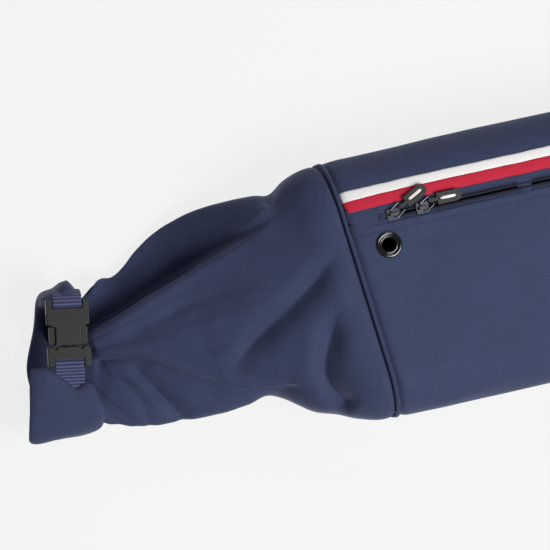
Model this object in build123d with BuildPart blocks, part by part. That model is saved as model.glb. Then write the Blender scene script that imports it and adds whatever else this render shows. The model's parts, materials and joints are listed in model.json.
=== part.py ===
from build123d import *
import math
import os

# A padded ski bag with a roll-top extension. Millimetres. +X runs along the bag towards the
# closed end, +Y towards the zip's edge, +Z up out of the front. The bag lies on its back, and
# the origin is the middle of the padded body's base.

# Padded body
body_length = 1400.0
body_width = 230.0
body_height = 110.0
corner_radius = 45.0
fabric_thickness = 1.0
foam_thickness = 5.0
lining_thickness = 0.6
piping_diameter = 4.0
end_foam_gap = 0.5
foam_seam_gap = 14.0

# Zip: coil and tape, seen across the bag
zip_from_edge = 12.5
zip_start_offset = 28.0
zip_end_offset = 38.0
tape_thickness = 0.6
tape_half_slot = 1.0
coil_width = 2.0
coil_height = 2.2
tack_length = 4.0
panel_gap_lower = 5.4
panel_gap_upper = 5.0

# Slider and its pull
slider_length = 11.0
slider_wall = 1.4
slider_plate = 1.1
slider_neck = 1.2
slider_clearance = 0.4
bridge_length = 7.4
bridge_width = 2.6
bridge_leg = 1.4
wire_diameter = 1.4
wire_clearance = 0.4
bail_length = 10.0
bail_width = 8.8
grip_length = 29.0
grip_width = 10.0
grip_thickness = 3.0
grip_tongue_length = 5.0
grip_tongue_width = 3.0
grip_bar_length = 13.0
grip_bar_width = 2.4
grip_bar_height = 0.8
pull_hole_clearance = 0.3
slider_a_offset = 37.0
slider_b_offset = 63.0
bail_yaw_a = 34.0
grip_yaw_a = 26.5
bail_yaw_b = 29.0
grip_yaw_b = 0.0

# Ribbon: three woven stripes side by side
navy_width = 5.0
red_width = 10.3
white_width = 8.3
ribbon_thickness = 0.7

# Eyelet
eyelet_offset = 28.0
eyelet_from_zip = 24.5
eyelet_flange_radius = 11.5
eyelet_hole_radius = 6.0
eyelet_wall = 1.0
eyelet_flange = 1.6
washer_thickness = 1.0

# Roll-top extension: distance from the seam, width, height and corner radius of each section
sleeve_wall = 1.0
sleeve_sections = [
    (80.0, 205.0, 80.0, 36.0),
    (160.0, 172.0, 52.0, 24.0),
]
sleeve_end_width = 124.0
sleeve_end_height = 26.0
sleeve_end_radius = 11.0

# Rolled mouth: a flat roll bent into an upright loop that is open on top
roll_distance = 270.0
roll_yaw = -10.0
roll_width = 55.0
roll_low = -65.0
roll_high = 62.0
roll_height = 75.0
roll_thickness = 12.0
roll_corner = 30.0
flap_end = -26.0
arm_end = 53.0
roll_clearance = 0.3
stiffener_width = 20.0
stiffener_across = 9.0
stiffener_length = 84.0
stiffener_thickness = 1.6
stiffener_clearance = 0.2

# Closure webbing and side-release buckle
strap_width = 25.0
strap_thickness = 1.4
buckle_across = 12.0
buckle_along = 23.5
buckle_level = 70.0
buckle_thickness = 9.0
socket_length = 39.0
socket_width = 37.0
socket_mouth_width = 26.0
socket_waist_width = 22.0
mouth_flare = 3.0
latch_cover = 8.5
shoulder_drop = 3.0
socket_plate = 1.7
socket_block = 12.0
mouth_below_centre = 12.5
plug_gap = 1.0
plug_length = 17.5
plug_width = 37.0
slot_opening = 4.2
slot_side = 2.0
bar_width = 3.2
bar_height = 4.0
loop_clearance = 0.4
guide_width = 4.0
guide_length = 17.0
prong_pivot_across = 11.0
prong_pivot_depth = 0.9
prong_root_radius = 1.6
prong_clearance = 0.3
prong_arm_width = 2.6
prong_arm_length = 18.0
pad_width = 7.0
pad_length = 15.0
blade_thickness = 4.0
flap_tuck = 4.0
buckle_travel = 16.0
strap_pocket_clearance = 0.5
strap_lead = 4.0
strap_bulge = 4.5
strap_turn = 19.0
strap_tail_start = 3.0
strap_tail_end = 2.0
strap_bend = 7.0
bartack_length = 8.0
bartack_thickness = 0.6

# Carry handles
band_width = 38.0
band_thickness = 1.5
band_spacing = 280.0
handle_centre = 60.0
front_handle_y = 34.0
front_handle_depth = 62.0
handle_strap = 25.0
handle_thickness = 2.4
handle_gap = 0.8
handle_corner = 24.0
wrap_length = 110.0
wrap_thickness = 6.0
wrap_margin = 3.0
side_handle_z = 80.0
side_handle_depth = 52.0

# End grab handle
end_handle_span = 110.0
end_handle_reach = 38.0
end_handle_strap = 25.0
end_handle_thickness = 2.4
end_handle_corner = 16.0
end_tab_length = 30.0
end_tab_thickness = 1.2

# Shoulder-strap rings
ring_positions = (-330.0, 470.0)
ring_wire = 4.0
ring_inner_width = 26.0
ring_inner_height = 15.0
ring_clearance = 0.4
ring_z = 76.0
tab_width = 22.0
tab_wall = 1.6
tab_length = 14.0

# Inner straps over the skis
ski_strap_positions = (-430.0, 390.0)
ski_strap_width = 38.0
ski_strap_length = 130.0
ski_strap_thickness = 1.6

# Places worked out from the sizes above
seam_x = -body_length / 2
end_x = body_length / 2
half_width = body_width / 2
mid_height = body_height / 2
flat_edge = half_width - corner_radius
zip_y = flat_edge - zip_from_edge
eyelet_y = zip_y - eyelet_from_zip
panel_start = seam_x + piping_diameter / 2
panel_end = end_x - piping_diameter
panel_length = panel_end - panel_start
foam_start = panel_start + foam_seam_gap
foam_length = panel_length - 2 * foam_seam_gap
wall_thickness = fabric_thickness + foam_thickness + lining_thickness
lower_panel_edge = zip_y - panel_gap_lower
upper_panel_edge = zip_y + panel_gap_upper
tape_width = zip_from_edge - tape_half_slot
lower_foam_edge = zip_y - tape_half_slot - tape_width
upper_foam_edge = zip_y + tape_half_slot + tape_width
tape_top = body_height - fabric_thickness
coil_top = tape_top + coil_height
zip_start = seam_x + zip_start_offset
zip_end = end_x - zip_end_offset

os.makedirs("parts", exist_ok=True)


def save(piece, name):
    """Label a finished piece and write its STEP file."""
    piece.part.label = name
    export_step(piece.part, f"parts/{name}.step")


def body_outline(inset, mode=Mode.ADD):
    """The body's cross-section, drawn inset from its outside."""
    with Locations((0, mid_height)):
        RectangleRounded(
            body_width - 2 * inset,
            body_height - 2 * inset,
            corner_radius - inset,
            mode=mode,
        )


def wall_section(outer, inner, low, high):
    """A stretch of wall between two insets, within the box from low to high in Y and Z."""
    body_outline(outer)
    body_outline(inner, mode=Mode.SUBTRACT)
    with Locations(((low[0] + high[0]) / 2, (low[1] + high[1]) / 2)):
        Rectangle(high[0] - low[0], high[1] - low[1], mode=Mode.INTERSECT)


# Outer fabric

outside = half_width + corner_radius
above = body_height + corner_radius

with BuildPart() as front_panel:
    with BuildSketch(Plane.YZ.offset(panel_start)):
        wall_section(0, fabric_thickness, (-flat_edge, mid_height), (lower_panel_edge, above))
    extrude(amount=panel_length)
    with BuildSketch(Plane.XY.offset(body_height)):
        with Locations((seam_x + eyelet_offset, eyelet_y)):
            Circle(eyelet_hole_radius + eyelet_wall)
    extrude(amount=-wall_thickness, mode=Mode.SUBTRACT)
save(front_panel, "front_panel")

with BuildPart() as upper_panel:
    with BuildSketch(Plane.YZ.offset(panel_start)):
        wall_section(0, fabric_thickness, (upper_panel_edge, mid_height), (outside, above))
    extrude(amount=panel_length)
    with BuildSketch(Plane.YZ.offset(panel_start)):
        wall_section(0, fabric_thickness, (flat_edge, -corner_radius), (outside, mid_height))
    extrude(amount=panel_length)
save(upper_panel, "upper_panel")

with BuildPart() as lower_side_panel:
    with BuildSketch(Plane.YZ.offset(panel_start)):
        wall_section(0, fabric_thickness, (-outside, -corner_radius), (-flat_edge, above))
    extrude(amount=panel_length)
save(lower_side_panel, "lower_side_panel")

with BuildPart() as back_panel:
    with BuildSketch(Plane.YZ.offset(panel_start)):
        wall_section(0, fabric_thickness, (-flat_edge, -corner_radius), (flat_edge, mid_height))
    extrude(amount=panel_length)
save(back_panel, "back_panel")

# The far end closes the body inside its piping.
end_panel_x = end_x - piping_diameter / 2

with BuildPart() as end_panel:
    with BuildSketch(Plane.YZ.offset(end_panel_x - fabric_thickness / 2)):
        body_outline(piping_diameter)
    extrude(amount=fabric_thickness)
save(end_panel, "end_panel")

# Foam padding, inside the fabric

foam_outer = fabric_thickness
foam_inner = fabric_thickness + foam_thickness

with BuildPart() as front_padding:
    with BuildSketch(Plane.YZ.offset(foam_start)):
        wall_section(foam_outer, foam_inner, (-flat_edge, mid_height), (lower_foam_edge, above))
    extrude(amount=foam_length)
    with BuildSketch(Plane.XY.offset(body_height)):
        with Locations((seam_x + eyelet_offset, eyelet_y)):
            Circle(eyelet_hole_radius + eyelet_wall)
    extrude(amount=-wall_thickness, mode=Mode.SUBTRACT)
save(front_padding, "front_padding")

with BuildPart() as upper_side_padding:
    with BuildSketch(Plane.YZ.offset(foam_start)):
        wall_section(foam_outer, foam_inner, (upper_foam_edge, mid_height), (outside, above))
    extrude(amount=foam_length)
    with BuildSketch(Plane.YZ.offset(foam_start)):
        wall_section(foam_outer, foam_inner, (flat_edge, -corner_radius), (outside, mid_height))
    extrude(amount=foam_length)
save(upper_side_padding, "upper_side_padding")

with BuildPart() as lower_side_padding:
    with BuildSketch(Plane.YZ.offset(foam_start)):
        wall_section(foam_outer, foam_inner, (-outside, -corner_radius), (-flat_edge, above))
    extrude(amount=foam_length)
save(lower_side_padding, "lower_side_padding")

with BuildPart() as back_padding:
    with BuildSketch(Plane.YZ.offset(foam_start)):
        wall_section(foam_outer, foam_inner, (-flat_edge, -corner_radius), (flat_edge, mid_height))
    extrude(amount=foam_length)
save(back_padding, "back_padding")

end_foam_face = end_panel_x - fabric_thickness / 2 - end_foam_gap

with BuildPart() as end_padding:
    with BuildSketch(Plane.YZ.offset(end_foam_face)):
        body_outline(foam_inner)
    extrude(amount=-foam_thickness)
save(end_padding, "end_padding")

# The lining is one sock, open at the seam and slit along the zip.
lining_end = end_foam_face - foam_thickness
lining_length = lining_end - panel_start

with BuildPart() as lining:
    with BuildSketch(Plane.YZ.offset(panel_start)):
        body_outline(foam_inner)
    extrude(amount=lining_length)
    with BuildSketch(Plane.YZ.offset(panel_start)):
        body_outline(foam_inner + lining_thickness)
    extrude(amount=lining_length - lining_thickness, mode=Mode.SUBTRACT)
    with BuildSketch(Plane.XY.offset(mid_height)):
        with Locations(((panel_start + zip_end) / 2, zip_y)):
            Rectangle(zip_end - panel_start, upper_foam_edge - lower_foam_edge)
    extrude(amount=body_height, mode=Mode.SUBTRACT)
    with BuildSketch(Plane.XY.offset(body_height)):
        with Locations((seam_x + eyelet_offset, eyelet_y)):
            Circle(eyelet_hole_radius + eyelet_wall)
    extrude(amount=-mid_height, mode=Mode.SUBTRACT)
save(lining, "lining")

# The binding covers the raw edges inside the seam.
binding_length = 12.0

with BuildPart() as seam_binding:
    with BuildSketch(Plane.YZ.offset(panel_start)):
        body_outline(wall_thickness)
        body_outline(wall_thickness + lining_thickness, mode=Mode.SUBTRACT)
        with Locations((zip_y, body_height)):
            Rectangle(upper_foam_edge - lower_foam_edge, mid_height, mode=Mode.SUBTRACT)
    extrude(amount=binding_length)
save(seam_binding, "seam_binding")


# Piping round both ends of the body


def piping(x):
    """A round cord that follows the body's outline at x."""
    inset = piping_diameter / 2
    half = half_width - inset
    top = body_height - inset
    with BuildPart() as cord:
        with BuildLine(Plane.YZ.offset(x)) as path:
            for side in (half, -half):
                FilletPolyline(
                    (0, top),
                    (side, top),
                    (side, inset),
                    (0, inset),
                    radius=corner_radius - inset,
                )
        with BuildSketch(Plane(origin=(x, 0, top), z_dir=(0, 1, 0))):
            Circle(piping_diameter / 2)
        sweep(path=path.line)
    return cord


seam_piping = piping(seam_x)
save(seam_piping, "seam_piping")
end_piping = piping(end_x - piping_diameter / 2)
save(end_piping, "end_piping")

# Zip: two tapes, two coils, and a tack at each end


def zip_strip(side, inner, width, bottom, height, start, end):
    """A strip along the zip, on one side of its middle (side is 1 or -1)."""
    with BuildPart() as strip:
        with BuildSketch(Plane.XY.offset(bottom)):
            with Locations(((start + end) / 2, zip_y + side * (inner + width / 2))):
                Rectangle(end - start, width)
        extrude(amount=height)
    return strip


tape_bottom = tape_top - tape_thickness

for side, half_name in ((-1, "lower"), (1, "upper")):
    zip_tape = zip_strip(
        side, tape_half_slot, tape_width, tape_bottom, tape_thickness, panel_start, zip_end
    )
    save(zip_tape, f"zip_tape_{half_name}")
    zip_coil = zip_strip(
        side, tape_half_slot, coil_width, tape_top, coil_height, zip_start, zip_end - tack_length
    )
    save(zip_coil, f"zip_coil_{half_name}")

tack_width = 2 * (tape_half_slot + coil_width)

with BuildPart() as zip_tacks:
    with BuildSketch(Plane.XY.offset(tape_top)):
        with Locations((zip_start - tack_length / 2, zip_y), (zip_end - tack_length / 2, zip_y)):
            Rectangle(tack_length, tack_width)
    extrude(amount=coil_height)
save(zip_tacks, "zip_tacks")

# Sliders: a plate above the coil and one below the tape, joined by a neck in the slot

slider_inner = tape_half_slot + coil_width + slider_clearance
slider_half = slider_inner + slider_wall
top_plate_bottom = coil_top + slider_clearance
top_plate_top = top_plate_bottom + slider_plate
bottom_plate_top = tape_bottom - slider_clearance
bottom_plate_bottom = bottom_plate_top - slider_plate
tunnel_height = wire_diameter + 2 * wire_clearance
wire_level = top_plate_top + tunnel_height / 2
bridge_height = tunnel_height + bridge_leg


def slider(x):
    """A slider with its middle at x and an arched bridge for the bail."""
    with BuildPart() as body:
        with BuildSketch(Plane.XY.offset(tape_top + slider_clearance)):
            with Locations((x, zip_y)):
                RectangleRounded(slider_length, 2 * slider_half, slider_wall)
        extrude(amount=top_plate_top - tape_top - slider_clearance)
        with BuildSketch(Plane.XY.offset(tape_top)):
            with Locations((x, zip_y)):
                Rectangle(2 * slider_length, 2 * slider_inner)
        extrude(amount=top_plate_bottom - tape_top, mode=Mode.SUBTRACT)
        with BuildSketch(Plane.XY.offset(bottom_plate_bottom)):
            with Locations((x, zip_y)):
                RectangleRounded(slider_length, 2 * slider_half, slider_wall)
        extrude(amount=slider_plate)
        with BuildSketch(Plane.XY.offset(bottom_plate_top)):
            with Locations((x, zip_y)):
                Rectangle(slider_length / 2, slider_neck)
        extrude(amount=top_plate_bottom - bottom_plate_top)
        with BuildSketch(Plane.XZ.offset(-zip_y)):
            with Locations((x, top_plate_top + bridge_height / 2)):
                Rectangle(bridge_length, bridge_height)
            with Locations((x, top_plate_top + tunnel_height / 2)):
                Rectangle(bridge_length - 2 * bridge_leg, tunnel_height, mode=Mode.SUBTRACT)
        extrude(amount=bridge_width / 2, both=True)
        bridge_tops = body.edges().filter_by(Axis.Y).group_by(Axis.Z)[-1]
        fillet(bridge_tops, bridge_leg / 2)
    return body


def pull_plane(origin, yaw):
    """A level plane at origin with its X axis turned by yaw."""
    turn = math.radians(yaw)
    return Plane(origin=origin, x_dir=(math.cos(turn), math.sin(turn), 0), z_dir=(0, 0, 1))


def pull_bail(x, yaw):
    """A wire loop through the slider's bridge, lying along yaw."""
    base = pull_plane((x, zip_y, wire_level), yaw)
    half = bail_width / 2
    with BuildPart() as bail:
        with BuildLine(base) as path:
            for side in (half, -half):
                FilletPolyline(
                    (0, 0),
                    (0, side),
                    (bail_length, side),
                    (bail_length, 0),
                    radius=wire_diameter,
                )
        with BuildSketch(Plane(origin=base.origin, z_dir=base.y_dir)):
            Circle(wire_diameter / 2)
        sweep(path=path.line)
    return bail


def grip_origin(x, yaw):
    """The middle of the bail's far bar, which the grip hangs on."""
    turn = math.radians(yaw)
    return (
        x + bail_length * math.cos(turn),
        zip_y + bail_length * math.sin(turn),
        wire_level,
    )


def pull_grip(x, bail_yaw, grip_yaw):
    """A flat moulded grip with a round tip, a narrow tongue and a raised bar."""
    base = pull_plane(grip_origin(x, bail_yaw), grip_yaw)
    bar_direction = pull_plane(base.origin, bail_yaw).y_dir
    hole_radius = wire_diameter / 2 + pull_hole_clearance
    tongue_back = hole_radius + wire_diameter
    round_end = grip_length - tongue_back - grip_width / 2
    with BuildPart() as grip:
        with BuildSketch(base.offset(-grip_thickness / 2)):
            with Locations(((grip_tongue_length - tongue_back) / 2, 0)):
                Rectangle(grip_tongue_length + tongue_back, grip_tongue_width)
            with Locations(((grip_tongue_length + round_end) / 2, 0)):
                Rectangle(round_end - grip_tongue_length, grip_width)
            with Locations((round_end, 0)):
                Circle(grip_width / 2)
        extrude(amount=grip_thickness)
        with BuildSketch(base.offset(grip_thickness / 2)):
            with Locations((grip_tongue_length + grip_bar_length / 2 + grip_bar_width / 2, 0)):
                SlotOverall(grip_bar_length, grip_bar_width)
        extrude(amount=grip_bar_height)
        with BuildSketch(Plane(origin=base.origin, z_dir=bar_direction)):
            Circle(hole_radius)
        extrude(amount=bail_width / 2, both=True, mode=Mode.SUBTRACT)
    return grip


pulls = (
    ("a", seam_x + slider_a_offset, bail_yaw_a, grip_yaw_a),
    ("b", seam_x + slider_b_offset, bail_yaw_b, grip_yaw_b),
)
for letter, x, bail_yaw, grip_yaw in pulls:
    zip_slider = slider(x)
    save(zip_slider, f"slider_{letter}")
    zip_bail = pull_bail(x, bail_yaw)
    save(zip_bail, f"pull_bail_{letter}")
    zip_grip = pull_grip(x, bail_yaw, grip_yaw)
    save(zip_grip, f"pull_grip_{letter}")

# Ribbon: three stripes that follow the outline from the panel's edge round the upper corner


def reach_y(distance):
    """How far out in Y a point lies that is this distance round the outline from the panel's edge."""
    on_arc = distance - (flat_edge - upper_panel_edge)
    if on_arc <= 0:
        return upper_panel_edge + distance
    return flat_edge + corner_radius * math.sin(on_arc / corner_radius)


stripe_edges = (0, navy_width, navy_width + red_width, navy_width + red_width + white_width)

for number, colour in enumerate(("navy", "red", "white")):
    with BuildPart() as stripe:
        with BuildSketch(Plane.YZ.offset(panel_start)):
            wall_section(
                -ribbon_thickness,
                0,
                (reach_y(stripe_edges[number]), mid_height),
                (reach_y(stripe_edges[number + 1]), above),
            )
        extrude(amount=panel_length)
    save(stripe, f"ribbon_{colour}")

# Eyelet: a flanged barrel from the front, and a washer behind the lining

barrel_length = wall_thickness + washer_thickness

with BuildPart() as eyelet:
    with BuildSketch(Plane.XY.offset(body_height)):
        with Locations((seam_x + eyelet_offset, eyelet_y)):
            Circle(eyelet_flange_radius)
    extrude(amount=eyelet_flange)
    fillet(eyelet.edges().group_by(Axis.Z)[-1], eyelet_flange / 2)
    with BuildSketch(Plane.XY.offset(body_height)):
        with Locations((seam_x + eyelet_offset, eyelet_y)):
            Circle(eyelet_hole_radius + eyelet_wall)
    extrude(amount=-barrel_length)
    with BuildSketch(Plane.XY.offset(body_height + eyelet_flange)):
        with Locations((seam_x + eyelet_offset, eyelet_y)):
            Circle(eyelet_hole_radius)
    extrude(amount=-barrel_length - eyelet_flange, mode=Mode.SUBTRACT)
save(eyelet, "eyelet")

with BuildPart() as eyelet_washer:
    with BuildSketch(Plane.XY.offset(body_height - wall_thickness)):
        with Locations((seam_x + eyelet_offset, eyelet_y)):
            Circle(eyelet_flange_radius)
            Circle(eyelet_hole_radius + eyelet_wall, mode=Mode.SUBTRACT)
    extrude(amount=-washer_thickness)
save(eyelet_washer, "eyelet_washer")


# Roll-top extension: a tube of single fabric that tapers from the seam to the rolled mouth

turn = math.radians(roll_yaw)
roll_across = Vector(math.cos(turn), math.sin(turn), 0)
roll_along = Vector(-math.sin(turn), math.cos(turn), 0)
roll_centre = Vector(seam_x - roll_distance, 0, 0)
sleeve_end_u = roll_width / 2 + roll_clearance
sleeve_end_centre = roll_centre + roll_across * sleeve_end_u


sleeve_outlines = [
    (Plane.YZ.offset(seam_x - piping_diameter / 2), body_width, body_height, corner_radius)
]
for distance, width, height, radius in sleeve_sections:
    sleeve_outlines.append((Plane.YZ.offset(seam_x - distance), width, height, radius))
sleeve_end_plane = Plane(origin=sleeve_end_centre, x_dir=roll_along, z_dir=roll_across)
sleeve_outlines.append((sleeve_end_plane, sleeve_end_width, sleeve_end_height, sleeve_end_radius))

with BuildPart() as roll_top_sleeve:
    for inset, mode in ((0, Mode.ADD), (sleeve_wall, Mode.SUBTRACT)):
        for plane, width, height, radius in sleeve_outlines:
            with BuildSketch(plane):
                with Locations((0, height / 2)):
                    RectangleRounded(width - 2 * inset, height - 2 * inset, radius - inset)
        loft(ruled=True, mode=mode)
save(roll_top_sleeve, "roll_top_sleeve")

# Rolled mouth: a loop in the upright plane along the roll, open on top between arm and flap

# Plane with X along the roll, Y up and its normal across the roll
roll_plane = Plane(origin=roll_centre, x_dir=roll_along, z_dir=roll_across)
roll_middle = (roll_low + roll_high) / 2
roll_length = roll_high - roll_low
pocket_half = strap_thickness / 2 + strap_pocket_clearance

with BuildPart() as roll_band:
    with BuildSketch(roll_plane.offset(-roll_width / 2)):
        with Locations((roll_middle, roll_height / 2)):
            RectangleRounded(roll_length, roll_height, roll_corner)
            RectangleRounded(
                roll_length - 2 * roll_thickness,
                roll_height - 2 * roll_thickness,
                roll_corner - roll_thickness,
                mode=Mode.SUBTRACT,
            )
        with Locations(((flap_end + arm_end) / 2, roll_height)):
            Rectangle(arm_end - flap_end, roll_height, mode=Mode.SUBTRACT)
        with Locations((0, roll_thickness / 2)):
            Rectangle(
                stiffener_length + 2 * stiffener_clearance,
                stiffener_thickness + 2 * stiffener_clearance,
                mode=Mode.SUBTRACT,
            )
    extrude(amount=roll_width)
    # pocket in the flap's end that the webbing runs into
    with BuildSketch(roll_plane.offset(buckle_across - strap_width / 2 - strap_pocket_clearance)):
        with Locations((flap_end, buckle_level)):
            Rectangle(
                2 * (flap_tuck + buckle_travel + strap_pocket_clearance),
                2 * pocket_half,
            )
    extrude(amount=strap_width + 2 * strap_pocket_clearance, mode=Mode.SUBTRACT)
save(roll_band, "roll_band")

with BuildPart() as mouth_stiffener:
    with BuildSketch(roll_plane.offset(stiffener_across - stiffener_width / 2)):
        with Locations((0, roll_thickness / 2)):
            Rectangle(stiffener_length, stiffener_thickness)
    extrude(amount=stiffener_width)
save(mouth_stiffener, "mouth_stiffener")

# Side-release buckle, drawn on a level plane with X across the roll and Y along it

buckle_centre = (
    roll_centre + roll_across * buckle_across + roll_along * buckle_along + Vector(0, 0, buckle_level)
)
buckle_plane = Plane(origin=buckle_centre, x_dir=roll_across, z_dir=(0, 0, 1))
half_buckle = buckle_thickness / 2
socket_low = -mouth_below_centre
socket_high = socket_low + socket_length
plug_high = socket_low - plug_gap
plug_low = plug_high - plug_length
cavity_high = socket_high - socket_block
shoulder_high = cavity_high - latch_cover


def cut_strap_bar(end, inward):
    """Draw the slot that leaves the webbing's bar at one end of the buckle; inward is 1 or -1."""
    with Locations((0, end + inward * (bar_width + slot_opening / 2))):
        Rectangle(strap_width + slot_side, slot_opening)


def thin_strap_bar(end, inward):
    """Draw the bar's length, where the buckle is thinner so that the webbing goes round it."""
    with Locations((0, end + inward * bar_width / 2)):
        Rectangle(strap_width + slot_side, bar_width)


with BuildPart() as buckle_socket:
    with BuildSketch(buckle_plane.offset(-half_buckle)):
        with BuildLine():
            Polyline(
                (-socket_mouth_width / 2, socket_low),
                (-socket_waist_width / 2, socket_low + mouth_flare),
                (-socket_waist_width / 2, shoulder_high - shoulder_drop),
                (-socket_width / 2, shoulder_high),
                (-socket_width / 2, socket_high),
                (socket_width / 2, socket_high),
                (socket_width / 2, shoulder_high),
                (socket_waist_width / 2, shoulder_high - shoulder_drop),
                (socket_waist_width / 2, socket_low + mouth_flare),
                (socket_mouth_width / 2, socket_low),
                close=True,
            )
        make_face()
    extrude(amount=buckle_thickness)
    fillet(buckle_socket.edges().group_by(Axis.Z)[-1], socket_plate / 2)
    with BuildSketch(buckle_plane.offset(-half_buckle + socket_plate)):
        with Locations((0, (socket_low + cavity_high) / 2)):
            Rectangle(2 * socket_width, cavity_high - socket_low)
    extrude(amount=buckle_thickness - 2 * socket_plate, mode=Mode.SUBTRACT)
    with BuildSketch(buckle_plane.offset(-half_buckle)):
        cut_strap_bar(socket_high, -1)
    extrude(amount=buckle_thickness, mode=Mode.SUBTRACT)
    with BuildSketch(buckle_plane.offset(bar_height / 2), buckle_plane.offset(-half_buckle)):
        thin_strap_bar(socket_high, -1)
    extrude(amount=half_buckle - bar_height / 2, mode=Mode.SUBTRACT)
save(buckle_socket, "buckle_socket")

pivot_along = plug_high - prong_pivot_depth

with BuildPart() as buckle_plug:
    with BuildSketch(buckle_plane.offset(-half_buckle)):
        with Locations((0, (plug_low + plug_high) / 2)):
            RectangleRounded(plug_width, plug_length, slot_side)
    extrude(amount=buckle_thickness)
    fillet(buckle_plug.edges().group_by(Axis.Z)[-1], socket_plate / 2)
    with BuildSketch(buckle_plane.offset(-half_buckle)):
        with Locations((-prong_pivot_across, pivot_along), (prong_pivot_across, pivot_along)):
            Circle(prong_root_radius + prong_clearance)
    extrude(amount=buckle_thickness, mode=Mode.SUBTRACT)
    with BuildSketch(buckle_plane.offset(-half_buckle)):
        cut_strap_bar(plug_low, 1)
    extrude(amount=buckle_thickness, mode=Mode.SUBTRACT)
    with BuildSketch(buckle_plane.offset(bar_height / 2), buckle_plane.offset(-half_buckle)):
        thin_strap_bar(plug_low, 1)
    extrude(amount=half_buckle - bar_height / 2, mode=Mode.SUBTRACT)
    with BuildSketch(buckle_plane.offset(-blade_thickness / 2)):
        with Locations((0, plug_high + guide_length / 2)):
            Rectangle(guide_width, guide_length)
    extrude(amount=blade_thickness)
save(buckle_plug, "buckle_plug")


def prong(side):
    """A sprung arm with a wide pad at its end; side is 1 or -1."""
    pivot = side * prong_pivot_across
    with BuildPart() as arm:
        with BuildSketch(buckle_plane.offset(-blade_thickness / 2)):
            with Locations((pivot, pivot_along)):
                Circle(prong_root_radius)
            with Locations((pivot, pivot_along + prong_arm_length / 2)):
                Rectangle(prong_arm_width, prong_arm_length)
            with Locations(
                (
                    pivot + side * (pad_width - prong_arm_width) / 2,
                    pivot_along + prong_arm_length - pad_length / 2,
                )
            ):
                RectangleRounded(pad_width, pad_length, prong_arm_width / 2)
        extrude(amount=blade_thickness)
    return arm


for side, prong_name in ((-1, "prong_outer"), (1, "prong_inner")):
    buckle_prong = prong(side)
    save(buckle_prong, prong_name)

# Closure webbing, drawn on the upright plane along the roll

strap_plane = roll_plane.offset(buckle_across - strap_width / 2)
socket_bar = buckle_along + socket_high - bar_width / 2
plug_bar = buckle_along + plug_low + bar_width / 2
loop_half_length = bar_width / 2 + loop_clearance
loop_half_height = bar_height / 2 + loop_clearance


def bar_loop(along):
    """Draw the webbing's eye round a buckle's bar."""
    with Locations((along, buckle_level)):
        RectangleRounded(
            2 * (loop_half_length + strap_thickness),
            2 * (loop_half_height + strap_thickness),
            strap_thickness,
        )
        Rectangle(2 * loop_half_length, 2 * loop_half_height, mode=Mode.SUBTRACT)


upper_start = socket_bar + loop_half_length + strap_thickness / 2

with BuildPart() as webbing_upper:
    with BuildSketch(strap_plane):
        bar_loop(socket_bar)
        with BuildLine():
            FilletPolyline(
                (upper_start, buckle_level),
                (roll_high - strap_lead, buckle_level),
                (roll_high + strap_bulge, roll_height - strap_turn),
                (roll_high + strap_thickness / 2, roll_height - roll_corner - strap_tail_start),
                (roll_high + strap_thickness / 2, roll_corner + strap_tail_end),
                radius=strap_bend,
            )
            offset(amount=strap_thickness / 2, side=Side.BOTH)
        make_face()
    extrude(amount=strap_width)
save(webbing_upper, "webbing_upper")

lower_start = plug_bar - loop_half_length - strap_thickness / 2
lower_end = flap_end - flap_tuck

with BuildPart() as webbing_lower:
    with BuildSketch(strap_plane):
        bar_loop(plug_bar)
        with Locations(((lower_start + lower_end) / 2, buckle_level)):
            Rectangle(lower_start - lower_end, strap_thickness)
    extrude(amount=strap_width)
save(webbing_lower, "webbing_lower")

with BuildPart() as strap_bartack:
    with BuildSketch(strap_plane):
        with Locations(
            (
                roll_high + strap_thickness + bartack_thickness / 2,
                roll_corner + strap_tail_end + bartack_length / 2,
            )
        ):
            Rectangle(bartack_thickness, bartack_length)
    extrude(amount=strap_width)
save(strap_bartack, "strap_bartack")

# Carry handles: two webbing bands round the front and sides, and two flat loops

ribbon_edge = reach_y(stripe_edges[-1])
handle_x = (handle_centre - band_spacing / 2, handle_centre + band_spacing / 2)

for x, place in zip(handle_x, ("near", "far")):
    with BuildPart() as band:
        with BuildSketch(Plane.YZ.offset(x - band_width / 2)):
            wall_section(
                -band_thickness, 0, (-outside, corner_radius), (front_handle_y + bartack_length, above)
            )
        extrude(amount=band_width)
        with BuildSketch(Plane.YZ.offset(x - band_width / 2)):
            wall_section(-band_thickness, 0, (ribbon_edge, corner_radius), (outside, above))
        extrude(amount=band_width)
    save(band, f"handle_band_{place}")

handle_lift = band_thickness + handle_gap
handle_length = band_spacing + handle_strap
front_handle_bottom = body_height + handle_lift


def handle_loop(depth):
    """Draw a flat strap loop that hangs from its root line by depth."""
    with Locations((handle_centre, 0)):
        RectangleRounded(handle_length, 2 * depth, handle_corner + handle_strap)
        RectangleRounded(
            handle_length - 2 * handle_strap,
            2 * (depth - handle_strap),
            handle_corner,
            mode=Mode.SUBTRACT,
        )
    with Locations((handle_centre, depth)):
        Rectangle(handle_length, 2 * depth, mode=Mode.SUBTRACT)


front_root = Plane(origin=(0, front_handle_y, front_handle_bottom))

with BuildPart() as front_handle:
    with BuildSketch(front_root):
        handle_loop(front_handle_depth)
    extrude(amount=handle_thickness)
save(front_handle, "front_handle")

wrap_y = handle_strap / 2 - front_handle_depth

with BuildPart() as handle_wrap:
    with BuildSketch(front_root.offset((handle_thickness - wrap_thickness) / 2)):
        with Locations((handle_centre, wrap_y)):
            RectangleRounded(wrap_length, handle_strap + 2 * wrap_margin, wrap_margin)
    extrude(amount=wrap_thickness)
    with BuildSketch(front_root):
        with Locations((handle_centre, wrap_y)):
            Rectangle(wrap_length, handle_strap)
    extrude(amount=handle_thickness, mode=Mode.SUBTRACT)
save(handle_wrap, "handle_wrap")

side_handle_y = half_width + handle_lift
side_root = Plane(origin=(0, side_handle_y, side_handle_z), x_dir=(1, 0, 0), z_dir=(0, -1, 0))

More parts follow.
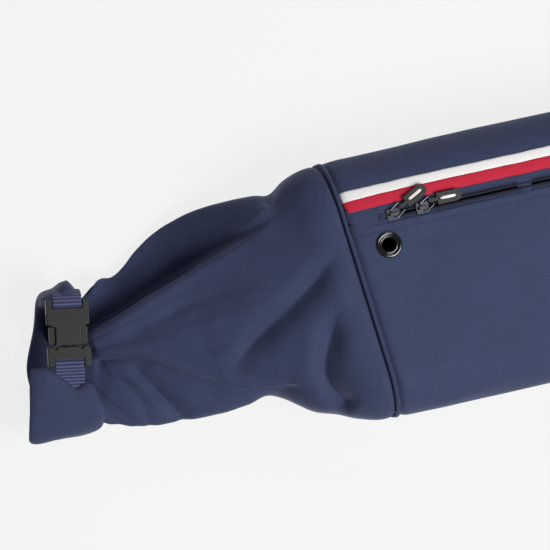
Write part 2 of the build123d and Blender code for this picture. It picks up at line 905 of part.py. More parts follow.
with BuildPart() as side_handle:
    with BuildSketch(side_root):
        handle_loop(side_handle_depth)
    extrude(amount=-handle_thickness)
save(side_handle, "side_handle")

# End grab handle, sewn to the far end on two tabs

end_face = end_panel_x + fabric_thickness / 2
end_strap_face = end_face + end_tab_thickness

with BuildPart() as end_tabs:
    with BuildSketch(Plane.YZ.offset(end_face)):
        with Locations((-end_handle_span / 2, mid_height), (end_handle_span / 2, mid_height)):
            RectangleRounded(end_tab_length, end_tab_length, wrap_margin)
    extrude(amount=end_tab_thickness)
save(end_tabs, "end_tabs")

with BuildPart() as end_handle:
    with BuildSketch(Plane.XY.offset(mid_height - end_handle_strap / 2)):
        with BuildLine():
            FilletPolyline(
                (end_strap_face, -end_handle_span / 2),
                (end_strap_face + end_handle_reach, -end_handle_span / 2 + end_handle_corner),
                (end_strap_face + end_handle_reach, end_handle_span / 2 - end_handle_corner),
                (end_strap_face, end_handle_span / 2),
                radius=end_handle_corner,
            )
            offset(amount=end_handle_thickness / 2, side=Side.BOTH)
        make_face()
    extrude(amount=end_handle_strap)
    split(bisect_by=Plane.YZ.offset(end_strap_face), keep=Keep.TOP)
save(end_handle, "end_handle")

# D-rings for a shoulder strap, each in a folded tab sewn to the upper side

ring_radius = ring_wire / 2
ring_y = half_width + tab_wall + ring_clearance + ring_radius
ring_hole = ring_radius + ring_clearance

for x, place in zip(ring_positions, ("near", "far")):
    with BuildPart() as tab:
        with BuildSketch(Plane.YZ.offset(x - tab_width / 2)):
            body_outline(-2 * tab_wall)
            with Locations((flat_edge, ring_z)):
                Rectangle(
                    outside, tab_length, align=(Align.MIN, Align.MIN), mode=Mode.INTERSECT
                )
            with Locations((ring_y, ring_z)):
                Circle(ring_hole + tab_wall)
                Circle(ring_hole, mode=Mode.SUBTRACT)
            body_outline(0, mode=Mode.SUBTRACT)
        extrude(amount=tab_width)
    save(tab, f"ring_tab_{place}")
    half_ring = (ring_inner_width + ring_wire) / 2
    ring_drop = ring_inner_height + ring_wire
    with BuildPart() as ring:
        with BuildLine(Plane(origin=(x, ring_y, ring_z), x_dir=(1, 0, 0), z_dir=(0, -1, 0))) as path:
            for reach in (half_ring, -half_ring):
                FilletPolyline(
                    (0, 0),
                    (reach, 0),
                    (reach, -ring_drop),
                    (0, -ring_drop),
                    radius=[ring_wire, ring_inner_height / 2],
                )
        with BuildSketch(Plane(origin=(x, ring_y, ring_z), z_dir=(1, 0, 0))):
            Circle(ring_radius)
        sweep(path=path.line)
    save(ring, f"d_ring_{place}")

# Inner straps across the back lining, which tie the skis down

for x, place in zip(ski_strap_positions, ("near", "far")):
    with BuildPart() as ski_strap:
        with BuildSketch(Plane.XY.offset(wall_thickness)):
            with Locations((x, 0)):
                Rectangle(ski_strap_width, ski_strap_length)
        extrude(amount=ski_strap_thickness)
    save(ski_strap, f"ski_strap_{place}")
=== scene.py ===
# %% [markdown]
# # A padded ski bag with a rolled mouth
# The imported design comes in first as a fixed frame. Every piece below is then made around it,
# in the same place and at the same size, in metres.

# %% Load the frame
import bmesh
import bpy
import json
import math
import numpy as np
from mathutils import Matrix, Vector, noise


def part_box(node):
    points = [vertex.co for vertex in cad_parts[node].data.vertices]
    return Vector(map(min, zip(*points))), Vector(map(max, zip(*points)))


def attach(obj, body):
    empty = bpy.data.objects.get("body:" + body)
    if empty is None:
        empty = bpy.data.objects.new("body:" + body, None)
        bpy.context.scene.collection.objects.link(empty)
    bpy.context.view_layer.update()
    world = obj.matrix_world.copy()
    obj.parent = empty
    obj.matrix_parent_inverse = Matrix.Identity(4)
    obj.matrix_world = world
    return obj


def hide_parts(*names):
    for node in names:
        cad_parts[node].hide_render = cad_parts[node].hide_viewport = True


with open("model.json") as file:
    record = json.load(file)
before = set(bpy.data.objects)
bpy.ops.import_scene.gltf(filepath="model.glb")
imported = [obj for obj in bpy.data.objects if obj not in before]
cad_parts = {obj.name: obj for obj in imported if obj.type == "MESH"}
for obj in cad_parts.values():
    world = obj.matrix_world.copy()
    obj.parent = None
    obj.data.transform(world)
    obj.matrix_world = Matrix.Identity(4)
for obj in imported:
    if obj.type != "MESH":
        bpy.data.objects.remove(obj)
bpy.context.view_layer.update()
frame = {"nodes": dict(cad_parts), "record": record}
MM = 0.001

# %% [markdown]
# The frame says where everything is. The seam between the padded body and the thin extension is
# the place that most of the sizes below are measured from, so it is read from the piping's box.

# %% Read the main sizes from the frame
def box_mm(node):
    """A node's lowest and highest corners, in millimetres."""
    low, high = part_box(node)
    return np.array(low) / MM, np.array(high) / MM


piping_low, piping_high = box_mm("seam_piping")
SEAM_X = (piping_low[0] + piping_high[0]) / 2
HALF_WIDTH = piping_high[1]
BODY_HEIGHT = piping_high[2]
PIPING_RADIUS = (piping_high[0] - piping_low[0]) / 2
END_X = box_mm("end_piping")[1][0]
FLAT_EDGE = box_mm("back_panel")[1][1]
CORNER = HALF_WIDTH - FLAT_EDGE
LOWER_ZIP_EDGE = box_mm("front_panel")[1][1]
UPPER_ZIP_EDGE = box_mm("ribbon_navy")[0][1]
ZIP_Y = (box_mm("zip_coil_lower")[0][1] + box_mm("zip_coil_upper")[1][1]) / 2
TAPE_TOP = box_mm("zip_tape_lower")[1][2]
print("seam", SEAM_X, "half width", HALF_WIDTH, "height", BODY_HEIGHT, "zip at", ZIP_Y)

# %% [markdown]
# Most pieces are grids: rows of points that a formula places, joined by four-sided faces. A grid
# keeps its cloth coordinates in millimetres, so a weave drawn on it follows the cloth.

# %% Helpers that turn arrays of points into meshes
def smooth_step(x):
    """0 below 0, 1 above 1, and a soft S between."""
    x = np.clip(x, 0, 1)
    return x * x * (3 - 2 * x)


def curve_through(points, at):
    """Smooth values at `at`, through given (position, value) pairs in rising order."""
    xs, ys = (np.array(v, float) for v in zip(*points))
    slopes = np.gradient(ys, xs)
    i = np.clip(np.searchsorted(xs, at) - 1, 0, len(xs) - 2)
    h = xs[i + 1] - xs[i]
    t = np.clip((at - xs[i]) / h, 0, 1)
    return (
        (2 * t**3 - 3 * t**2 + 1) * ys[i]
        + (t**3 - 2 * t**2 + t) * h * slopes[i]
        + (-2 * t**3 + 3 * t**2) * ys[i + 1]
        + (t**3 - t**2) * h * slopes[i + 1]
    )


def noise_at(x, y, z=0.0):
    """Smooth noise from -1 to 1 at arrays of places."""
    x, y, z = np.broadcast_arrays(x, y, z)
    flat = [noise.noise(Vector(p)) for p in zip(x.ravel(), y.ravel(), z.ravel())]
    return np.array(flat).reshape(x.shape)


def mesh_piece(name, points, faces, uvs=None):
    """A smooth mesh object from points in millimetres."""
    mesh = bpy.data.meshes.new(name)
    mesh.from_pydata((np.asarray(points, float) * MM).tolist(), [], faces)
    mesh.polygons.foreach_set("use_smooth", [True] * len(mesh.polygons))
    if uvs is not None:
        layer = mesh.uv_layers.new(name="cloth")
        corner_points = np.zeros(len(mesh.loops), int)
        mesh.loops.foreach_get("vertex_index", corner_points)
        layer.data.foreach_set("uv", np.asarray(uvs, float)[corner_points].ravel())
    piece = bpy.data.objects.new(name, mesh)
    bpy.context.collection.objects.link(piece)
    return piece


def grid_faces(rows, columns, wrap=False):
    """Faces of a grid of points; wrap joins its last column to its first."""
    faces = []
    for i in range(rows - 1):
        for j in range(columns if wrap else columns - 1):
            k = (j + 1) % columns
            faces.append((i * columns + j, (i + 1) * columns + j, (i + 1) * columns + k, i * columns + k))
    return faces


def cloth_lengths(grid):
    """Cloth coordinates in millimetres: the distance along the rows and along the columns."""
    across = np.linalg.norm(np.diff(grid, axis=1), axis=2)
    along = np.linalg.norm(np.diff(grid, axis=0), axis=2)
    v = np.concatenate([np.zeros((grid.shape[0], 1)), np.cumsum(across, axis=1)], axis=1)
    u = np.concatenate([np.zeros((1, grid.shape[1])), np.cumsum(along, axis=0)], axis=0)
    return np.stack([np.broadcast_to(u.mean(1)[:, None], v.shape), v], axis=2)


def sheet_piece(name, grid, wrap=False, thickness=0.0):
    """A cloth piece from a grid of points, rows first, with an optional thickness."""
    rows, columns = grid.shape[:2]
    uvs = cloth_lengths(grid).reshape(-1, 2)
    piece = mesh_piece(name, grid.reshape(-1, 3), grid_faces(rows, columns, wrap), uvs)
    if thickness:
        thicken(piece, thickness)
    return piece


def apply_modifiers(piece):
    """Bake a piece's modifiers into its mesh."""
    bpy.context.view_layer.update()
    shown = piece.evaluated_get(bpy.context.evaluated_depsgraph_get())
    mesh = bpy.data.meshes.new_from_object(shown)
    piece.modifiers.clear()
    piece.data = mesh


def thicken(piece, thickness):
    """Give an open cloth surface its thickness, inwards, with a rim."""
    solid = piece.modifiers.new("thickness", "SOLIDIFY")
    solid.thickness = thickness * MM
    solid.offset = -1
    apply_modifiers(piece)


def place(piece, body, slot, *nodes):
    """Ride a piece on its body and say which frame nodes it stands for; its slot is not used."""
    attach(piece, body)
    if nodes:
        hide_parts(*nodes)
    print(piece.name, len(piece.data.polygons), "faces")
    return piece

# %% [markdown]
# **Woven cloth.** The shell is a fine navy weave with a faint streaky grain in both directions
# and a soft sheen. Stretched noise along the two thread directions gives the grain, crossed
# waves give the threads a small bump, and the sheen sits on the shader itself.

# %% Make the cloth materials
def node_tree(name):
    """A new material and its tree, with the shader node found."""
    material = bpy.data.materials.new(name)
    material.use_nodes = True
    tree = material.node_tree
    return material, tree, tree.nodes["Principled BSDF"]


def add(tree, kind, **settings):
    """A node with its settings and input values."""
    node = tree.nodes.new(kind)
    for key, value in settings.items():
        if key in node.inputs:
            node.inputs[key].default_value = value
        else:
            setattr(node, key, value)
    return node


def cloth_coordinates(tree, source, scale):
    """Coordinates in millimetres times scale: the cloth's own, or the object's."""
    places = add(tree, "ShaderNodeTexCoord")
    per_unit = 1.0 if source == "UV" else 1 / MM
    mapping = add(tree, "ShaderNodeMapping")
    mapping.inputs["Scale"].default_value = [s * per_unit for s in scale]
    tree.links.new(places.outputs[source], mapping.inputs["Vector"])
    return mapping.outputs["Vector"]


def math_node(tree, operation, a, b):
    """One sum on two values or sockets."""
    node = add(tree, "ShaderNodeMath", operation=operation)
    for socket, value in zip(node.inputs, (a, b)):
        if isinstance(value, (int, float)):
            socket.default_value = value
        else:
            tree.links.new(value, socket)
    return node.outputs[0]


def noise_node(tree, vector, scale, detail=3.0):
    """Noise from 0 to 1 on a vector."""
    node = add(tree, "ShaderNodeTexNoise", Scale=scale, Detail=detail)
    tree.links.new(vector, node.inputs["Vector"])
    return node.outputs["Fac"]


def wave_node(tree, vector, direction, period):
    """Straight waves with a period in millimetres."""
    node = add(tree, "ShaderNodeTexWave", wave_type="BANDS", bands_direction=direction)
    node.inputs["Scale"].default_value = math.pi / 10 / period
    tree.links.new(vector, node.inputs["Vector"])
    return node.outputs["Fac"]


def set_bump(tree, shader, height, strength, distance):
    """Bump from a height in millimetres."""
    bump = add(tree, "ShaderNodeBump", Strength=strength, Distance=distance * MM)
    tree.links.new(height, bump.inputs["Height"])
    tree.links.new(bump.outputs["Normal"], shader.inputs["Normal"])


def colour_ramp(tree, value, dark, light, low=0.3, high=0.7):
    """A colour between two, by a value."""
    ramp = add(tree, "ShaderNodeValToRGB")
    ramp.color_ramp.elements[0].position = low
    ramp.color_ramp.elements[1].position = high
    ramp.color_ramp.elements[0].color = (*dark, 1)
    ramp.color_ramp.elements[1].color = (*light, 1)
    tree.links.new(value, ramp.inputs["Fac"])
    return ramp.outputs["Color"]


def shade(colour, factor):
    """A colour made lighter or darker."""
    return tuple(min(1.0, c * factor) for c in colour)


def ribbed(name, colour, source, pitch, direction="X"):
    """Cord-ribbed webbing over a fine weave, with painted shade in the lines between the ribs and a painted highlight
    on the ribs.
    """
    material, tree, shader = node_tree(name)
    even = cloth_coordinates(tree, source, (1, 1, 1))
    ribs = wave_node(tree, even, direction, pitch)
    fine = noise_node(tree, cloth_coordinates(tree, source, (1.6, 0.5, 0.5)), 1.0, 4.0)
    # The rib wave darkens the colour between the ribs as painted shade and lightens it on the ribs as a painted
    # highlight; the fine noise is the yarn's own uneven tone.
    mixed = math_node(tree, "ADD", math_node(tree, "MULTIPLY", ribs, 0.72), math_node(tree, "MULTIPLY", fine, 0.28))
    ramp = colour_ramp(tree, mixed, shade(colour, 0.38), shade(colour, 1.45), 0.2, 0.85)
    tree.links.new(ramp, shader.inputs["Base Color"])
    set_bump(tree, shader, mixed, 0.5, 0.5)
    shader.inputs["Roughness"].default_value = 0.7
    shader.inputs["Specular IOR Level"].default_value = 0.3
    shader.inputs["Sheen Weight"].default_value = 0.15
    return material


def woven(name, colour, source="UV", pitch=0.7, contrast=0.16, sheen=0.22, bump=0.25, rough=0.8):
    """A plain weave: streaks along both threads, a thread bump and a soft sheen."""
    material, tree, shader = node_tree(name)
    even = cloth_coordinates(tree, source, (1, 1, 1))
    warp = noise_node(tree, cloth_coordinates(tree, source, (0.05, 1.1, 1.1)), 1.0, 4.0)
    weft = noise_node(tree, cloth_coordinates(tree, source, (1.1, 0.05, 0.3)), 1.0, 4.0)
    cloud = noise_node(tree, cloth_coordinates(tree, source, (0.02, 0.02, 0.02)), 1.0, 2.0)
    streaks = math_node(tree, "ADD", math_node(tree, "MULTIPLY", warp, 0.4), math_node(tree, "MULTIPLY", weft, 0.4))
    mixed = math_node(tree, "ADD", streaks, math_node(tree, "MULTIPLY", cloud, 0.2))
    tone = colour_ramp(tree, mixed, shade(colour, 1 - contrast), shade(colour, 1 + contrast), 0.35, 0.65)
    tree.links.new(tone, shader.inputs["Base Color"])
    threads = math_node(
        tree, "MULTIPLY", wave_node(tree, even, "X", pitch), wave_node(tree, even, "Y", pitch)
    )
    grain = math_node(tree, "ADD", math_node(tree, "MULTIPLY", threads, 0.6), streaks)
    set_bump(tree, shader, grain, bump, 0.25)
    shader.inputs["Roughness"].default_value = rough
    shader.inputs["Specular IOR Level"].default_value = 0.22
    shader.inputs["Sheen Weight"].default_value = sheen
    shader.inputs["Sheen Roughness"].default_value = 0.35
    shader.inputs["Sheen Tint"].default_value = (0.62, 0.70, 0.95, 1)
    return material


NAVY = (0.038, 0.049, 0.106)
MATERIALS = {
    "shell_fabric": woven("shell weave", NAVY),
    "sleeve_fabric": woven("extension weave", shade(NAVY, 0.97)),
    "piping_fabric": woven("piping weave", shade(NAVY, 0.9), pitch=0.5),
    "lining_fabric": woven("lining weave", (0.04, 0.042, 0.05), source="Object", sheen=0.1),
    "zip_tape": woven("zip tape weave", shade(NAVY, 0.62), pitch=0.5, contrast=0.12),
    "ribbon_navy": woven("navy stripe", shade(NAVY, 0.9), pitch=0.9),
    "ribbon_red": woven("red stripe", (0.50, 0.018, 0.045), pitch=0.9, contrast=0.1),
    "ribbon_white": woven("white stripe", (0.82, 0.80, 0.79), pitch=0.9, contrast=0.04),
    "webbing": ribbed("webbing ribs", (0.058, 0.066, 0.150), "UV", 2.9),
    "wrap_fabric": woven("wrap weave", shade(NAVY, 0.7), pitch=1.2, contrast=0.2),
    "stitching": woven("thread", shade(NAVY, 0.6), pitch=0.4, contrast=0.2),
}
print(len(MATERIALS), "cloth materials")

# %% [markdown]
# **Moulded and painted parts.** The buckle, the pulls and the eyelet are black, and differ in
# gloss: the buckle has a fine spark-eroded grain, the eyelet is glossy lacquer. Each gets its
# own noise in colour, roughness and bump, because real mouldings are never perfectly even.

# %% Make the hard materials
def moulded(name, colour, rough, grain, coat=0.0, metal=0.0):
    """Plastic or lacquered metal with a fine grain."""
    material, tree, shader = node_tree(name)
    fine = noise_node(tree, cloth_coordinates(tree, "Object", (1, 1, 1)), 2.2, 5.0)
    wide = noise_node(tree, cloth_coordinates(tree, "Object", (1, 1, 1)), 0.12, 3.0)
    tone = colour_ramp(tree, wide, shade(colour, 0.8), shade(colour, 1.25))
    tree.links.new(tone, shader.inputs["Base Color"])
    spread = add(tree, "ShaderNodeMapRange")
    spread.inputs["To Min"].default_value = rough * 0.85
    spread.inputs["To Max"].default_value = rough * 1.15
    tree.links.new(fine, spread.inputs["Value"])
    tree.links.new(spread.outputs["Result"], shader.inputs["Roughness"])
    set_bump(tree, shader, fine, grain, 0.08)
    shader.inputs["Metallic"].default_value = metal
    shader.inputs["Coat Weight"].default_value = coat
    shader.inputs["Coat Roughness"].default_value = 0.08
    return material


def foam(name, colour):
    """Closed-cell foam: pale, with small cells, each coloured darker in its hollow as painted shade."""
    material, tree, shader = node_tree(name)
    cells = add(tree, "ShaderNodeTexVoronoi", Scale=0.9)
    tree.links.new(cloth_coordinates(tree, "Object", (1, 1, 1)), cells.inputs["Vector"])
    # The colour follows the same cell distance as the bump, so each cell's hollow gets painted shade.
    ramp = colour_ramp(tree, cells.outputs["Distance"], shade(colour, 0.8), colour)
    tree.links.new(ramp, shader.inputs["Base Color"])
    set_bump(tree, shader, cells.outputs["Distance"], 0.4, 0.3)
    shader.inputs["Roughness"].default_value = 0.9
    return material


MATERIALS.update({
    "buckle_plastic": moulded("buckle moulding", (0.0075, 0.007, 0.0065), 0.40, 0.5),
    "pull_rubber": moulded("pull moulding", (0.010, 0.010, 0.011), 0.30, 0.3),
    "slider_metal": moulded("slider metal", (0.09, 0.095, 0.11), 0.26, 0.2, metal=0.85),
    "eyelet_black": moulded("eyelet lacquer", (0.006, 0.006, 0.007), 0.12, 0.05, coat=1.0, metal=0.2),
    "ring_metal": moulded("ring paint", (0.015, 0.015, 0.017), 0.28, 0.2, coat=0.3, metal=0.4),
    "zip_coil": moulded("coil monofilament", (0.022, 0.027, 0.050), 0.36, 0.1),
    "stiffener_plastic": moulded("stiffener", (0.03, 0.03, 0.032), 0.5, 0.3),
    "padding_foam": foam("padding foam", (0.55, 0.55, 0.53)),
})


def finish_in(piece, slot):
    """Put a slot's material on a piece."""
    piece.data.materials.clear()
    piece.data.materials.append(MATERIALS[slot])


UNMAPPED = {
    "webbing": ribbed("webbing ribs unmapped", (0.050, 0.058, 0.130), "Object", 2.9),
    "wrap_fabric": woven("wrap weave unmapped", shade(NAVY, 0.7), source="Object", pitch=1.2, contrast=0.2),
    "zip_tape": woven("tape weave unmapped", shade(NAVY, 0.62), source="Object", pitch=0.5),
}
node_slot = {s["node"]: s["material_slot"] for s in frame["record"]["subparts"]}
for node, part in frame["nodes"].items():
    for material_slot in part.material_slots:
        material_slot.material = UNMAPPED.get(node_slot[node], MATERIALS[node_slot[node]])
print(len(frame["nodes"]), "frame nodes finished")

# %% [markdown]
# **The outline of the padded body.** The cloth starts at the zip's lower edge, runs over the
# front, round the lower side, under the back, up the upper side, and ends at the zip's upper
# edge. A point on it is found by the distance round, so that cloth, ribbon and piping all
# follow the same line.

# %% Walk round the body's outline
HALF_HEIGHT = BODY_HEIGHT / 2
SIDE_FLAT = BODY_HEIGHT - 2 * CORNER
ARC = CORNER * math.pi / 2
STRETCHES = [
    ("line", LOWER_ZIP_EDGE + FLAT_EDGE, (LOWER_ZIP_EDGE, BODY_HEIGHT), (-1, 0)),
    ("arc", ARC, (-FLAT_EDGE, BODY_HEIGHT - CORNER), 90),
    ("line", SIDE_FLAT, (-HALF_WIDTH, BODY_HEIGHT - CORNER), (0, -1)),
    ("arc", ARC, (-FLAT_EDGE, CORNER), 180),
    ("line", 2 * FLAT_EDGE, (-FLAT_EDGE, 0), (1, 0)),
    ("arc", ARC, (FLAT_EDGE, CORNER), 270),
    ("line", SIDE_FLAT, (HALF_WIDTH, CORNER), (0, 1)),
    ("arc", ARC, (FLAT_EDGE, BODY_HEIGHT - CORNER), 0),
    ("line", FLAT_EDGE - UPPER_ZIP_EDGE, (FLAT_EDGE, BODY_HEIGHT), (-1, 0)),
]
ROUND = sum(s[1] for s in STRETCHES)


def outline(distance):
    """Places (Y, Z) and outward normals at distances round the body, from the zip's lower edge."""
    d = np.atleast_1d(np.asarray(distance, float)) % (ROUND + 1e-6)
    place_yz, normal = np.zeros((len(d), 2)), np.zeros((len(d), 2))
    start = 0.0
    for kind, length, origin, way in STRETCHES:
        on = (d >= start - 1e-9) & (d <= start + length + 1e-9)
        t = d[on] - start
        if kind == "line":
            place_yz[on] = np.array(origin) + t[:, None] * np.array(way)
            normal[on] = (way[1], -way[0])
        else:
            angle = np.radians(way) + t / CORNER
            normal[on] = np.stack([np.cos(angle), np.sin(angle)], axis=1)
            place_yz[on] = np.array(origin) + CORNER * normal[on]
        start += length
    return place_yz, normal


print("cloth round the body", round(ROUND), "mm")

# %% [markdown]
# **The seam.** The padded body and the thin extension are sewn together round a piped seam. It
# isn't quite square to the bag: it leans a little, as a stuffed and handled bag does. Everything
# near it uses the same lean.

# %% Say where the seam runs
SEAM_LEAN = -0.082


def seam_at(y):
    """Where the seam is along the bag, at a place across it."""
    return SEAM_X + SEAM_LEAN * np.asarray(y, float)


def lean_with_seam(x, y, reach=170.0):
    """Move places along the bag with the seam's lean, less and less away from it."""
    return x + SEAM_LEAN * y * (1 - smooth_step(np.abs(x - SEAM_X) / reach))


print("seam runs from", seam_at(-HALF_WIDTH), "to", seam_at(HALF_WIDTH))

# %% [markdown]
# **The padded body** is one wrap of cloth over thin foam. Padding makes it nearly smooth, so its
# life comes from small things: it swells a little between its seams, dips where it is sewn to
# the piping, turns under in a stitched fold beside the zip, and has a few soft creases. These
# are heights added to the outline, each a bump, a dip or a ridge at a place.

# %% Shape the padded body's cloth
eyelet_low, eyelet_high = box_mm("eyelet")
EYELET = (eyelet_low + eyelet_high) / 2
EYELET_RADIUS = (eyelet_high[0] - eyelet_low[0]) / 2


def spot(x, y, centre, radius):
    """1 at a centre, falling smoothly to 0 a few radii away."""
    return np.exp(-((x - centre[0]) ** 2 + (y - centre[1]) ** 2) / radius**2)


def ridge(x, y, start, end, width):
    """1 along a straight line between two places, falling away beside it and at its ends."""
    start, end = np.array(start, float), np.array(end, float)
    way = end - start
    length = np.linalg.norm(way)
    way = way / length
    along = (x - start[0]) * way[0] + (y - start[1]) * way[1]
    across = -(x - start[0]) * way[1] + (y - start[1]) * way[0]
    fade = smooth_step(along / (0.35 * length)) * smooth_step((length - along) / (0.35 * length))
    return fade * np.exp(-((across / width) ** 2))


def body_height_change(x, y, z, distance):
    """How far the cloth stands out from the outline, at places on the body."""
    from_seam = x - seam_at(y)
    from_end = END_X - x
    swell = smooth_step((from_seam - 12) / 130) * smooth_step((from_end - 12) / 130)
    top = smooth_step((z - (BODY_HEIGHT - CORNER * 0.5)) / (CORNER * 0.5))
    from_zip = np.minimum(distance, ROUND - distance)
    crown = 3.2 * top * np.clip(1 - (y / HALF_WIDTH) ** 2, 0, 1) * smooth_step(from_zip / 40)
    side = 1.2 * np.exp(-(((z - HALF_HEIGHT) / 30) ** 2))
    under = smooth_step((12 - z) / 12)
    lift = swell * (crown + side) * (1 - under)
    sewn = -4.6 * np.exp(-((from_seam / 4.5) ** 2)) - 3.4 * np.exp(-(((from_end - 2) / 4.5) ** 2))
    sewn = sewn - 0.4 * np.exp(-(((from_seam - 8) / 5) ** 2))
    lift = lift + np.where(z < 1, np.maximum(sewn, -4), sewn)
    puckers = noise_at(x * 0, y * 0.09, z * 0.09) * np.exp(-(((from_seam - 7) / 6) ** 2))
    lift = lift + 0.5 * puckers
    fold = 0.9 * smooth_step(distance / 1.2) * (1 - smooth_step((distance - 5.2) / 1.2))
    stitched = -0.35 * np.exp(-(((distance - 6.6) / 0.8) ** 2))
    lift = lift + (fold + stitched) * (distance < 30)
    away = 1 - spot(x, y, EYELET[:2], EYELET_RADIUS * 1.25)
    soft = noise_at(x / 95, distance / 80) * 0.9 + noise_at(x / 34, distance / 60, 3.0) * 0.22
    lift = lift + soft * (1 - under) * away * smooth_step(from_seam / 25)
    dimple = -0.9 * ridge(x, y, (EYELET[0] + 15, EYELET[1] - 2), (EYELET[0] + 52, EYELET[1] + 3), 8)
    lift = lift + dimple * top
    crease = 1.3 * ridge(x, y, (SEAM_X + 30, -113), (SEAM_X + 150, -95), 5)
    return lift + crease * (z > HALF_HEIGHT) - 1.0 * ridge(x, y, (SEAM_X + 30, -104), (SEAM_X + 150, -86), 6)


from_seam_rows = np.concatenate([np.arange(0, 24, 1.5), np.arange(24, 170, 3.0)])
middle_rows = np.linspace(170, END_X - SEAM_X - 24, 150)
rows = SEAM_X + 1.0 + np.concatenate([from_seam_rows, middle_rows, END_X - SEAM_X - 3 - np.arange(0, 21, 2.0)[::-1]])
around = np.concatenate([
    [0, 0.6, 1.2, 2.0, 3.2, 4.4, 5.2, 5.8, 6.4, 7.0, 7.8, 9.0],
    np.linspace(11, ROUND - 6, 215),
    [ROUND - 4, ROUND - 2, ROUND],
])
print(len(rows), "rows of", len(around), "points")

# %% [markdown]
# The eyelet goes through this cloth, so the faces under its flange are left out. The flange is
# wider than that gap and hides its edge.

# %% Make the body's cloth
def body_points(rows, around, extra=0.0):
    """Points of the body's cloth, rows along the bag by places around it."""
    yz, normal = outline(around)
    x = np.repeat(rows[:, None], len(around), axis=1)
    y = np.repeat(yz[None, :, 0], len(rows), axis=0)
    z = np.repeat(yz[None, :, 1], len(rows), axis=0)
    distance = np.repeat(around[None, :], len(rows), axis=0)
    x = lean_with_seam(x, y)
    lift = body_height_change(x, y, z, distance) + extra
    return np.stack([x, y + normal[None, :, 0] * lift, z + normal[None, :, 1] * lift], axis=2)


def drop_faces(piece, inside):
    """Leave out the faces whose centres a rule picks, in millimetres."""
    mesh = piece.data
    centres = np.array([tuple(p.center / MM) for p in mesh.polygons])
    gone = inside(centres)
    keep = [tuple(p.vertices) for p, g in zip(mesh.polygons, gone) if not g]
    uvs = {}
    for loop, uv in zip(mesh.loops, mesh.uv_layers[0].data):
        uvs[loop.vertex_index] = tuple(uv.uv)
    points = [tuple(v.co / MM) for v in mesh.vertices]
    used = sorted({v for face in keep for v in face})
    number = {v: i for i, v in enumerate(used)}
    name = piece.name
    bpy.data.objects.remove(piece)
    faces = [tuple(number[v] for v in face) for face in keep]
    return mesh_piece(name, [points[v] for v in used], faces, [uvs[v] for v in used])


body_grid = body_points(rows, around)
body_cloth = sheet_piece("body_cloth", body_grid)
body_cloth = drop_faces(
    body_cloth,
    lambda c: (np.hypot(c[:, 0] - EYELET[0], c[:, 1] - EYELET[1]) < EYELET_RADIUS * 0.8) & (c[:, 2] > HALF_HEIGHT),
)
finish_in(body_cloth, "shell_fabric")
place(body_cloth, "bag", "shell_fabric", "front_panel", "upper_panel", "lower_side_panel", "back_panel")

# %% [markdown]
# **The closed end** is a panel across the body, drawn as rings that shrink from the piping to
# the middle, with a small swell because foam lies behind it.

# %% Make the end panel
def ring_points(inset, x):
    """The body's outline pulled in by a distance, at a place along the bag."""
    whole = np.linspace(0, ROUND + (UPPER_ZIP_EDGE - LOWER_ZIP_EDGE), 160, endpoint=False)
    yz, normal = outline(np.minimum(whole, ROUND))
    over = whole > ROUND
    yz[over, 0] = UPPER_ZIP_EDGE - (whole[over] - ROUND)
    shrink = 1 - inset
    y = yz[:, 0] * shrink
    z = HALF_HEIGHT + (yz[:, 1] - HALF_HEIGHT) * shrink
    return np.stack([np.full(len(y), x), y, z], axis=1)


insets = np.concatenate([[0.035, 0.05, 0.07, 0.09], np.linspace(0.12, 0.98, 16)])
bulge = 3.0 * (1 - np.exp(-((insets - 0.03) / 0.16)))
end_rings = np.array([ring_points(i, END_X - 2.5 + b) for i, b in zip(insets, bulge)])
end_cloth = sheet_piece("end_cloth", end_rings, wrap=True)
finish_in(end_cloth, "shell_fabric")
place(end_cloth, "bag", "shell_fabric", "end_panel")

# %% [markdown]
# **Piping** is a cord in a strip of cloth, sewn into both end seams. It is a tube swept round
# the outline. The strip puckers a little over the cord, so the tube's thickness wavers.

# %% Make the piping
def tube(name, path, radius, sides=12, closed=True):
    """A round tube of points along a path, with a radius for each point."""
    path = np.asarray(path, float)
    ahead = np.roll(path, -1, axis=0) - np.roll(path, 1, axis=0)
    if not closed:
        ahead[0], ahead[-1] = path[1] - path[0], path[-1] - path[-2]
    ahead /= np.linalg.norm(ahead, axis=1)[:, None]
    side = np.cross(ahead, np.broadcast_to(TUBE_UP, ahead.shape))
    side /= np.linalg.norm(side, axis=1)[:, None]
    other = np.cross(side, ahead)
    turn = np.linspace(0, 2 * math.pi, sides, endpoint=False)
    rings = (
        path[:, None, :]
        + np.cos(turn)[None, :, None] * side[:, None, :] * radius[:, None, None]
        + np.sin(turn)[None, :, None] * other[:, None, :] * radius[:, None, None]
    )
    if closed:
        rings = np.concatenate([rings, rings[:1]], axis=0)
    return sheet_piece(name, rings, wrap=True)


TUBE_UP = np.array([1.0, 0.0, 0.0])


def piping(name, x_at, node, inset):
    """Piping round the body's outline, at a place along the bag that may change across it."""
    whole = np.linspace(0, ROUND + (UPPER_ZIP_EDGE - LOWER_ZIP_EDGE), 420, endpoint=False)
    yz, normal = outline(np.minimum(whole, ROUND))
    over = whole > ROUND
    yz[over, 0] = UPPER_ZIP_EDGE - (whole[over] - ROUND)
    yz = yz - normal * inset
    path = np.stack([x_at(yz[:, 0]), yz[:, 0], yz[:, 1]], axis=1)
    radius = PIPING_RADIUS + 0.16 * noise_at(whole / 5.0, 0.0) + 0.1 * noise_at(whole / 19.0, 7.0)
    piece = tube(name, path, radius)
    finish_in(piece, "piping_fabric")
    return place(piece, "bag", "piping_fabric", node)


piping("seam_cord", seam_at, "seam_piping", 2.0)
piping("end_cord", lambda y: 0 * y + END_X - 2.0, "end_piping", 2.0)

# %% [markdown]
# **The extension** is a thin unpadded sleeve. It leaves the seam at the body's full size and
# gets narrower and flatter toward the rolled mouth, whose axis is turned a little the other way.
# A cloth simulation alone would not fold where the buckle's pull folds it, so the sleeve is
# drawn first: its two edges, its height, and then each fold along its own line.

# %% Set the sleeve's outline
ROLL_DISTANCE = 270.0
ROLL_LEAN = 0.177

